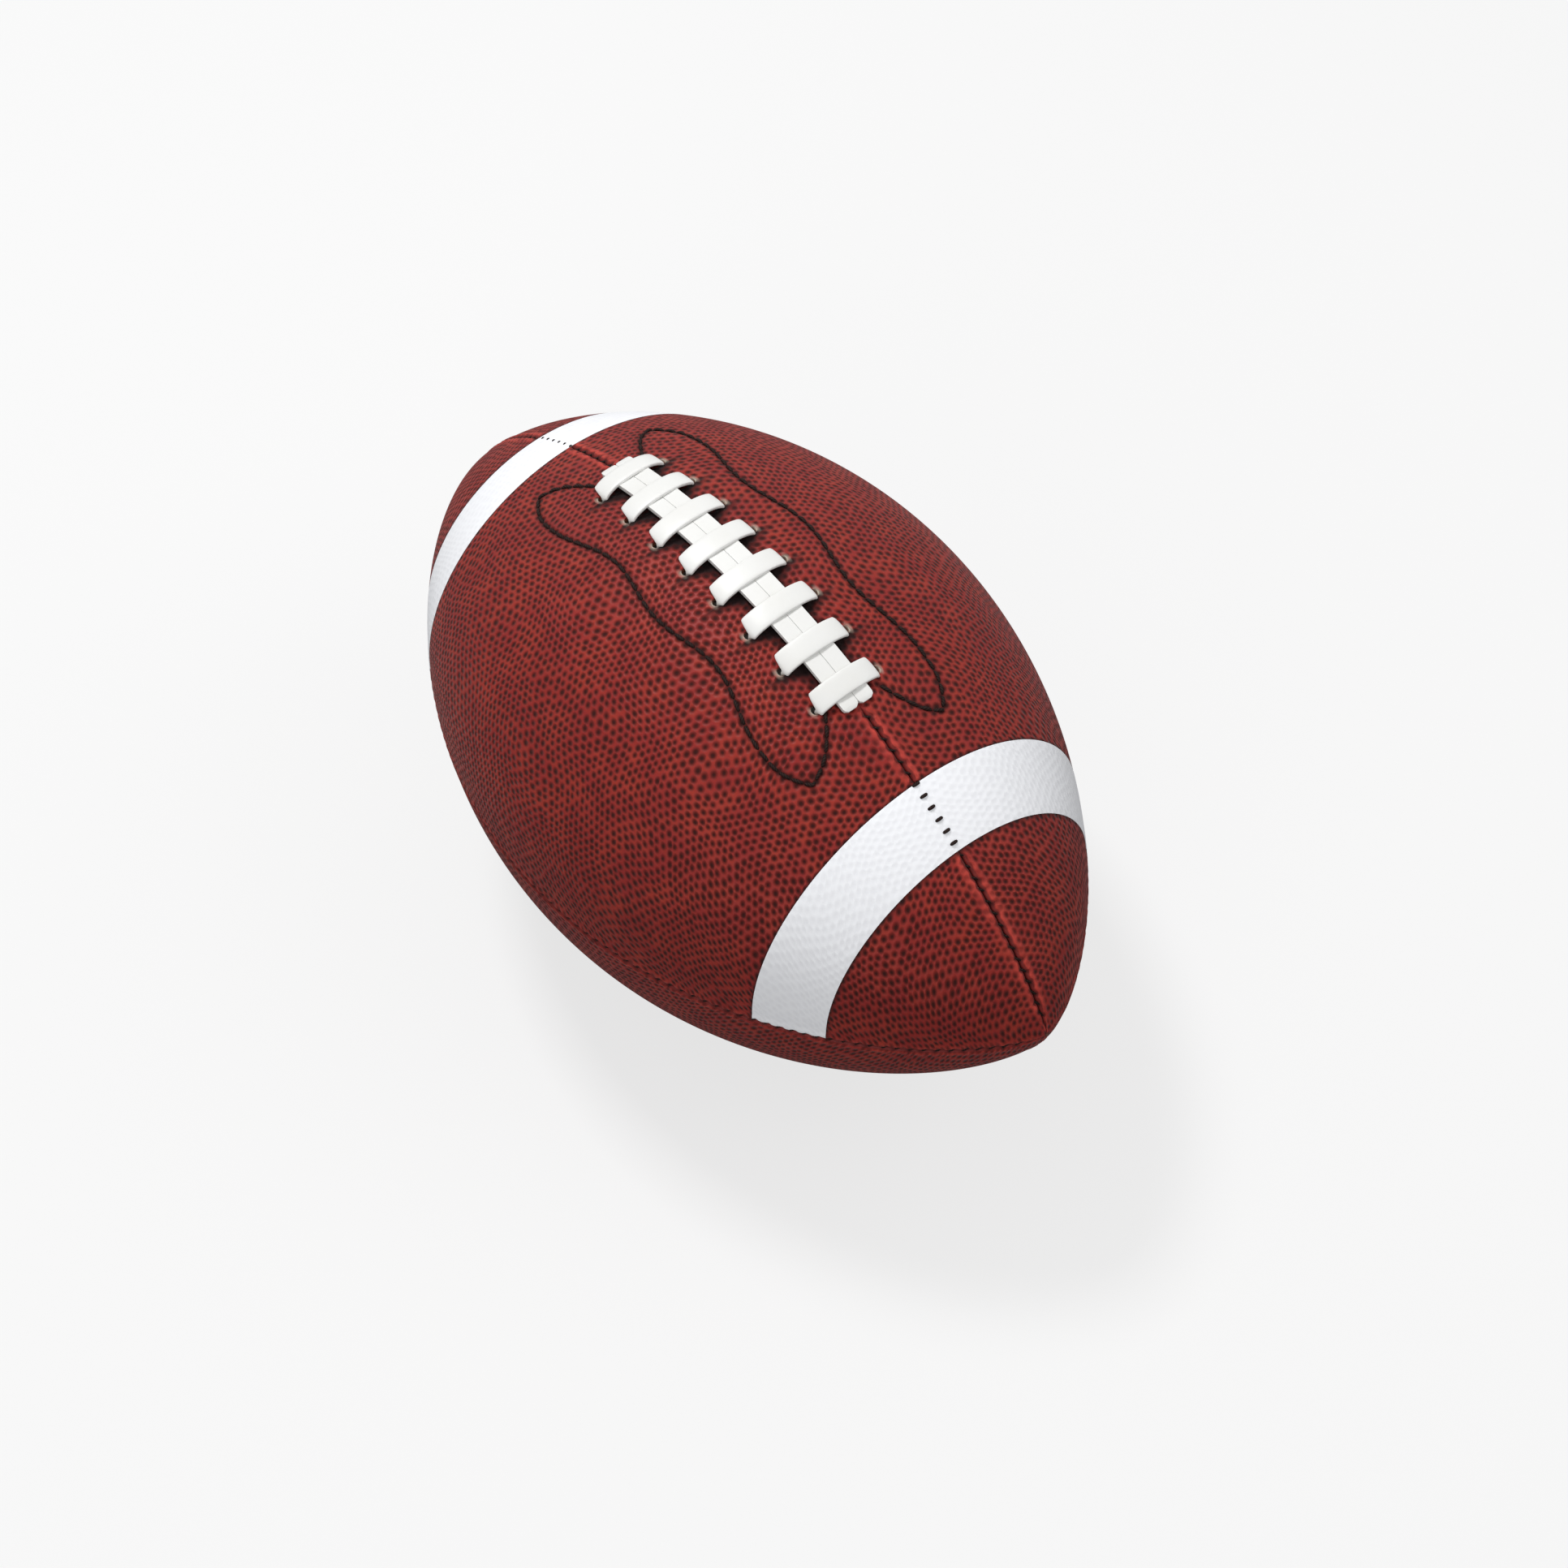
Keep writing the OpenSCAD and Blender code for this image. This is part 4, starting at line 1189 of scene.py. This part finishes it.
def lace_crossings(football):
    """The cross laces: a flat band that gathers to a round leg in each hole. While it gathers, its
    front edge stays straight, and the leg then swings back to its place in the hole. Its angle is its
    distance over the radius there, and near the holes, which lie at one angle, over the belly's."""
    cover, lace = football.cover, football.lace
    distance, height, gathered, to_surface = cross_lace_path(football)
    middle = ((np.arange(lace.count) - (lace.count - 1) / 2) * lace.pitch)[:, None]
    radius, slope = outline(cover, middle)
    full, leg = lace.width / 2, lace.leg_diameter / 2
    front = (full - leg) * gathered
    x = middle + front - (full - leg - lace.leg_shift) * gathered**6
    near_hole = smooth_step(np.abs(distance), *HOLE_ANGLE_FADE)
    angle = distance / radius + (distance / (cover.belly_diameter / 2) - distance / radius) * near_hole
    centre = on_ball(cover, x, angle, height)
    lean = 1 / np.sqrt(1 + slope**2)
    side = np.stack([-lean, 0 * lean, -slope * lean], -1)
    thin = lace.thickness / 2 * (1 - GATHERED_THINNING * gathered)
    half_height = thin + (leg - thin) * (1 - smooth_step(to_surface, *ROUND_LEG_FADE))
    squareness = CROSS_SQUARENESS * (1 - gathered)
    return tubes(centre, side, full - front, half_height, squareness, CROSS_ROUND)


def lace_inner_runs(football):
    """The lace inside the ball, which joins the ends of the cross laces on each side."""
    cover, lace = football.cover, football.lace
    end = half_lacing(lace) + lace.leg_diameter / 2
    x = np.linspace(-end, end, INNER_RINGS)[None].repeat(2, 0)
    turn = (lace.hole_spacing / 2 - lace.leg_inset) / (cover.belly_diameter / 2)
    centre = on_ball(cover, x, np.array([[turn], [-turn]]), -lace.leg_depth)
    half_width, half_height = lace.leg_diameter / 2, lace.inner_thickness / 2
    return tubes(centre, SIDEWAYS, half_width, half_height, INNER_SQUARENESS, INNER_ROUND)


# Threads


# Rings along a stitch, and points round a stitch and round a cord
STITCH_RINGS, STITCH_ROUND, CORD_ROUND = 11, 10, 8

# The height of a contour stitch's ends from its groove, and how far its middle rises from them. Its
# thickness at the ends and its flatness are shares.
CONTOUR_ENDS = -0.35 * MM
CONTOUR_RISE = 0.75 * MM
CONTOUR_END_SHARE = 0.6
CONTOUR_FLATNESS = 0.9

# A seam's stitch: the height of its ends from the leather's face, how far its middle rises, half its
# span and half its thickness. On the rear stripe the last two are less by a share.
CREASE_STITCH = (-1.1 * MM, 0.55 * MM, 1.3 * MM, 0.5 * MM)
FLAT_STITCH = (-0.3 * MM, 0.5 * MM, 1.2 * MM, 0.55 * MM)
REAR_STRIPE_SHARE = 0.45

# The power of a seam stitch's arch, its thickness at the ends as a share, and its flatness
SEAM_ARCH = 2.5
SEAM_END_SHARE = 0.7
SEAM_FLATNESS = 0.8

# The cord in a seam's crease: how deep it lies, half its thickness, and the step and least number of
# its rings
CORD_DEPTH = 1.6 * MM
CORD_THREAD = 0.25 * MM
CORD_STEP = 2 * MM
CORD_LEAST_RINGS = 12


def contour_stitches(football, right):
    """The stitches beside the lacing: each runs a stitch's length along the contour line, rises over
    the leather as the root of a sine, and dips in at both ends."""
    cover, stitch = football.cover, football.stitch
    line_x, line_s = contour_line(football, right)
    run = run_along(line_x, line_s)
    count = round(run[-1] / stitch.pitch)
    pitch = run[-1] / count
    t = np.linspace(0, 1, STITCH_RINGS)
    place_on_line = (np.arange(count)[:, None] + 0.5) * pitch + (t - 0.5) * (pitch - stitch.gap)
    x = np.interp(place_on_line, run, line_x)
    angle = np.interp(place_on_line, run, line_s) / outline(cover, x)[0]
    arch = np.sin(math.pi * t) ** 0.5
    centre = on_ball(cover, x, angle, CONTOUR_ENDS - stitch.groove_depth + CONTOUR_RISE * arch)
    outwards = on_ball(cover, x, angle, 10 * MM) - on_ball(cover, x, angle, 0)
    side = unit(np.cross(outwards, np.gradient(centre, axis=1)))
    thick = stitch.thread_diameter / 2 * (CONTOUR_END_SHARE + (1 - CONTOUR_END_SHARE) * arch)
    flat = thick * CONTOUR_FLATNESS
    points, quads, triangles, uv = tubes(centre, side, thick, flat, 0.0, STITCH_ROUND)
    return place(points, right), quads, triangles, uv


def seam_stitches(football, seam_places, is_top):
    """Thread that crosses a seam at each stitch: a short arch over the seam, low in the crease, and on
    the top seam above the film where the seam crosses a stripe. It is thinner on the rear stripe."""
    cover = football.cover
    t = np.linspace(-1, 1, STITCH_RINGS)
    arch = np.sqrt(np.clip(1 - np.abs(t) ** SEAM_ARCH, 0, 1))
    x = seam_places[:, None]
    flat = top_calm(football, x) if is_top else 0 * x
    radius, _ = outline(cover, x)
    shrink = nose_shrink(cover, radius)
    size = shrink * (np.where(x < 0, REAR_STRIPE_SHARE, 1.0) * flat + 1 - flat)
    crease_ends, crease_rise, crease_span, crease_thick = CREASE_STITCH
    flat_ends, flat_rise, flat_span, flat_thick = FLAT_STITCH
    half_span = (crease_span + (flat_span - crease_span) * flat) * size
    in_crease = (crease_ends + crease_rise * arch) * shrink
    height = in_crease * (1 - flat) + (flat_ends + flat_rise * arch) * flat
    skewed = x + SEAM_SLANT * cover.seam_stitch * (1 - flat) * t
    centre = on_ball(cover, skewed, np.arcsin(half_span * t / radius), height)
    thick = (crease_thick + (flat_thick - crease_thick) * flat) * size
    thick = thick * (SEAM_END_SHARE + (1 - SEAM_END_SHARE) * arch)
    return tubes(centre, LENGTHWISE, thick, thick * SEAM_FLATNESS, 0.0, STITCH_ROUND)


def seam_cord(football, start, end):
    """Thread along the floor of a seam's crease between two places."""
    cover = football.cover
    x = np.linspace(start, end, max(CORD_LEAST_RINGS, round((end - start) / CORD_STEP)))[None]
    shrink = nose_shrink(cover, outline(cover, x)[0])
    centre = on_ball(cover, x, 0 * x, -CORD_DEPTH * shrink)
    return tubes(centre, SIDEWAYS, CORD_THREAD * shrink, CORD_THREAD * shrink, 0.0, CORD_ROUND)


def turned_round(parts, angle):
    """Turns (points, ...) made on the top seam round the ball's axis and lifts them into place."""
    x, y, z = parts[0].T
    cosine, sine = math.cos(angle), math.sin(angle)
    return (place(np.stack([x, y * cosine + z * sine, z * cosine - y * sine], -1)), *parts[1:])


# Operators


CLOTH_NODES = (
    "lining_lace_left", "lining_lace_right", "lining_back_left", "lining_back_right",
    "lace_facing_left", "lace_facing_right", "valve_patch",
)

# Name, dark and light tone, length and depth of the relief, and roughness
TONGUE_LEATHER = ("tongue_leather", (0.08, 0.016, 0.012), (0.13, 0.03, 0.02), 2 * MM, 0.1 * MM, 0.7)
BLADDER_RUBBER = (
    "bladder_rubber", (0.015, 0.015, 0.015), (0.03, 0.03, 0.03), 6 * MM, 0.05 * MM, 0.45,
)

# The sewing stops at this share of the half length, and this far from the last cross laces' middles
SEWN_SHARE = 0.985
SLIT_MARGIN = 10 * MM

# The lamps' distance from the ball, and each one's name, its direction from the ball, its size and the
# setting of its power
LAMP_DISTANCE = 1.4
LAMPS = (
    ("overhead_lamp", (-0.42, 0.0, 0.91), 0.3, "key_power"),
    ("far_lamp", (0.54, 0.54, 0.64), 1.0, "fill_power"),
    ("camera_side_lamp", (0.5, -0.8, 0.35), 1.0, "low_power"),
)
BACKGROUND_WHITE = (0.96, 0.96, 0.96, 1)

# The floor's corners, its colour, its glow to the camera, and where it fades to white
FLOOR_CORNERS = 96
FLOOR_COLOUR = (0.2, 0.2, 0.2, 1)
FLOOR_GLOW = 0.715
FLOOR_FADE_START = 0.5
FLOOR_FADE_END = 1.1

# The camera's axes, its place from the ball's middle, and the width of its sensor in millimetres
CAMERA_RIGHT = Vector((0.620024, 0.783377, -0.043487))
CAMERA_DOWN = Vector((0.626863, -0.527954, -0.572981))
CAMERA_FORWARD = Vector((-0.471819, 0.328001, -0.818414))
CAMERA_FROM_BALL = Vector((0.47608, -0.3185, 0.78619))
CAMERA_SENSOR = 36.0


class FOOTBALL_OT_cover(bpy.types.Operator):
    """Sew the four leather panels"""

    bl_idname = "football.cover"
    bl_label = "Cover Panels"

    def execute(self, context):
        football = context.scene.football
        leather = leather_material(football.cover)
        for half, back in (("lace_", False), ("back_", True)):
            for side, right in SIDES:
                add_panel(football, half + side, right, back, leather)
        return {"FINISHED"}


class FOOTBALL_OT_stripes(bpy.types.Operator):
    """Lay the white film of the four stripe halves"""

    bl_idname = "football.stripes"
    bl_label = "Stripes"

    def execute(self, context):
        football = context.scene.football
        film = film_material(football.stripe, football.cover)
        for end, front in (("front_", True), ("rear_", False)):
            for side, right in SIDES:
                add_stripe(football, end + side, front, right, film)
        return {"FINISHED"}


class FOOTBALL_OT_lace(bpy.types.Operator):
    """Tie the lace: two strands, the cross laces and the runs inside the ball"""

    bl_idname = "football.lace"
    bl_label = "Lace"

    def execute(self, context):
        football = context.scene.football
        parts = [lace_strands(football), lace_crossings(football), lace_inner_runs(football)]
        points, quads, triangles, uv = join(parts)
        vinyl = lace_material(football.lace)
        add_piece("tied_lace", ["lace"], place(points), quads, triangles, vinyl, uv)
        return {"FINISHED"}


class FOOTBALL_OT_contour(bpy.types.Operator):
    """Stitch the contour line on each side of the lacing"""

    bl_idname = "football.contour"
    bl_label = "Contour Stitching"

    def execute(self, context):
        football = context.scene.football
        thread = thread_material(football.stitch)
        for side, right in SIDES:
            points, quads, triangles, uv = contour_stitches(football, right)
            add_piece(
                "contour_thread_" + side, ["contour_stitch_" + side], points, quads, triangles,
                thread, uv, flip=right,
            )
        return {"FINISHED"}


class FOOTBALL_OT_seams(bpy.types.Operator):
    """Sew the four seams with their thread"""

    bl_idname = "football.seams"
    bl_label = "Seam Threads"

    def execute(self, context):
        football = context.scene.football
        cover = football.cover
        thread = thread_material(football.stitch)
        last = int(outline_arc(cover, SEWN_SHARE * cover.ball_length / 2) / cover.seam_stitch)
        places = outline_place(cover, np.arange(-last, last + 1) * cover.seam_stitch)
        tip = places[-1]
        slit = half_lacing(football.lace) + SLIT_MARGIN
        for name, angle, cords in (
            ("top", 0.0, [(-tip, -slit), (slit, tip)]),
            ("bottom", math.pi, [(-tip, tip)]),
            ("left", QUARTER_TURN, [(-tip, tip)]),
            ("right", -QUARTER_TURN, [(-tip, tip)]),
        ):
            is_top = name == "top"
            sewn = np.abs(places) > (slit if is_top else 0)
            parts = [seam_stitches(football, places[sewn], is_top)]
            parts += [seam_cord(football, start, end) for start, end in cords]
            points, quads, triangles, uv = turned_round(join(parts), angle)
            add_piece(
                "seam_sewing_" + name, ["seam_thread_" + name], points, quads, triangles, thread, uv
            )
        return {"FINISHED"}


def dress_node(name, material):
    """Gives a CAD node its material."""
    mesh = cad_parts[name].data
    mesh.materials.clear()
    mesh.materials.append(material)


class FOOTBALL_OT_valve(bpy.types.Operator):
    """Finish the rubber valve and its plug"""

    bl_idname = "football.valve"
    bl_label = "Valve"

    def execute(self, context):
        valve = context.scene.football.valve
        rubber = plain_material(
            "moulded_rubber", valve.colour, valve.worn_colour, 1.5 * MM, 0.03 * MM, 0.6
        )
        for name in ("valve_body", "valve_plug"):
            dress_node(name, rubber)
        return {"FINISHED"}


class FOOTBALL_OT_inside(bpy.types.Operator):
    """Finish the linings, facings, tongue, patch and bladder inside the ball"""

    bl_idname = "football.inside"
    bl_label = "Inside"

    def execute(self, context):
        cloth = cloth_material()
        for name in CLOTH_NODES:
            dress_node(name, cloth)
        dress_node("lace_tongue", plain_material(*TONGUE_LEATHER))
        dress_node("bladder", plain_material(*BLADDER_RUBBER))
        return {"FINISHED"}


class FOOTBALL_OT_stage(bpy.types.Operator):
    """Set up the floor, the sky, the lamps and the camera"""

    bl_idname = "football.stage"
    bl_label = "Stage"

    def execute(self, context):
        scene, stage = context.scene, context.scene.football.stage
        self.lay_floor(scene, stage)
        self.light(scene, stage)
        self.aim_camera(scene, stage)
        scene.view_settings.view_transform = "Standard"
        return {"FINISHED"}

    def lay_floor(self, scene, stage):
        """A round floor just under the ball, which keeps its shadow. The camera sees it pale by a glow
        of its own, and fading into the background's white further out."""
        turn = np.linspace(0, 2 * math.pi, FLOOR_CORNERS, endpoint=False)
        rim = np.stack([np.cos(turn), np.sin(turn), 0 * turn], -1) * stage.floor_radius
        mesh = bpy.data.meshes.new("floor")
        lowest = np.array([0, 0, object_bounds()[0].z])
        mesh.from_pydata((rim + lowest).tolist(), [], [list(range(FLOOR_CORNERS))])
        material, tree = new_material("pale_floor")
        to_camera = add_node(tree, "ShaderNodeLightPath").outputs["Is Camera Ray"]
        diffuse = add_node(tree, "ShaderNodeBsdfDiffuse", {"Color": FLOOR_COLOUR}).outputs[0]
        glow = add_node(tree, "ShaderNodeEmission", {"Strength": times(tree, to_camera, FLOOR_GLOW)})
        both = add_node(tree, "ShaderNodeAddShader", {0: diffuse, 1: glow.outputs[0]}).outputs[0]
        distance = vector_maths(tree, "LENGTH", {0: object_place(tree)})["Value"]
        far = times(tree, span(tree, distance, FLOOR_FADE_START, FLOOR_FADE_END), to_camera)
        haze = add_node(tree, "ShaderNodeEmission", {"Color": BACKGROUND_WHITE}).outputs[0]
        faded = add_node(tree, "ShaderNodeMixShader", {0: far, 1: both, 2: haze}).outputs[0]
        add_node(tree, "ShaderNodeOutputMaterial", {"Surface": faded})
        mesh.materials.append(material)
        floor = bpy.data.objects.new("floor", mesh)
        scene.collection.objects.link(floor)
        floor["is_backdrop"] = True

    def light(self, scene, stage):
        """An even sky, which is white to the camera and in gloss, and three square soft lamps: a small
        one overhead, and two larger, weaker ones on the far side and beside the camera."""
        world = bpy.data.worlds.new("studio")
        world.use_nodes = True
        tree = world.node_tree
        tree.nodes.clear()
        sky = add_node(tree, "ShaderNodeBackground", {"Color": (1, 1, 1, 1), "Strength": stage.sky_strength})
        white = add_node(tree, "ShaderNodeEmission", {"Color": BACKGROUND_WHITE})
        path = add_node(tree, "ShaderNodeLightPath").outputs
        seen = maths(tree, "MAXIMUM", path["Is Camera Ray"], path["Is Glossy Ray"])
        seen = maths(tree, "MAXIMUM", seen, path["Is Transmission Ray"])
        mixed = add_node(tree, "ShaderNodeMixShader", {0: seen, 1: sky.outputs[0], 2: white.outputs[0]})
        add_node(tree, "ShaderNodeOutputWorld", {"Surface": mixed.outputs[0]})
        scene.world = world
        for name, direction, size, power in LAMPS:
            light = bpy.data.lights.new(name, "AREA")
            light.shape = "SQUARE"
            light.size = size
            light.energy = getattr(stage, power)
            lamp = bpy.data.objects.new(name, light)
            towards = Vector(direction).normalized()
            turn = towards.to_track_quat("Z", "Y").to_matrix().to_4x4()
            spot = Vector((0, 0, AXIS_HEIGHT)) + towards * LAMP_DISTANCE
            lamp.matrix_world = Matrix.Translation(spot) @ turn
            scene.collection.objects.link(lamp)

    def aim_camera(self, scene, stage):
        """The camera of the photograph, fitted to the ball's outline, lacing, stripes and seams."""
        camera = bpy.data.cameras.new("camera")
        camera.sensor_width = CAMERA_SENSOR
        camera.lens = stage.focal_length
        view = bpy.data.objects.new("camera", camera)
        axes = Matrix((CAMERA_RIGHT, -CAMERA_DOWN, -CAMERA_FORWARD)).transposed().to_4x4()
        centre = CAMERA_FROM_BALL + Vector((0, 0, AXIS_HEIGHT))
        view.matrix_world = Matrix.Translation(centre) @ axes
        scene.collection.objects.link(view)
        scene.camera = view


class FOOTBALL_PT_sidebar(bpy.types.Panel):
    """The steps that build the ball."""

    bl_idname = "FOOTBALL_PT_sidebar"
    bl_label = "American Football"
    bl_space_type = "VIEW_3D"
    bl_region_type = "UI"
    bl_category = "Football"

    def draw(self, context):
        for operator in OPERATORS:
            self.layout.operator(operator.bl_idname)


SETTINGS = (
    CoverSettings, StripeSettings, LaceSettings, StitchSettings, ValveSettings, StageSettings,
    FootballSettings,
)
OPERATORS = (
    FOOTBALL_OT_cover, FOOTBALL_OT_stripes, FOOTBALL_OT_lace, FOOTBALL_OT_contour, FOOTBALL_OT_seams,
    FOOTBALL_OT_valve, FOOTBALL_OT_inside, FOOTBALL_OT_stage,
)


def register():
    """Registers the settings, the operators and the sidebar."""
    for cls in (*SETTINGS, *OPERATORS, FOOTBALL_PT_sidebar):
        bpy.utils.register_class(cls)
    bpy.types.Scene.football = PointerProperty(type=FootballSettings)


def unregister():
    """Removes them again."""
    del bpy.types.Scene.football
    for cls in reversed((*SETTINGS, *OPERATORS, FOOTBALL_PT_sidebar)):
        bpy.utils.unregister_class(cls)


def main():
    """Builds the ball and its stage."""
    register()
    bpy.ops.football.cover()
    bpy.ops.football.stripes()
    bpy.ops.football.lace()
    bpy.ops.football.contour()
    bpy.ops.football.seams()
    bpy.ops.football.valve()
    bpy.ops.football.inside()
    bpy.ops.football.stage()


if __name__ == "__main__":
    main()
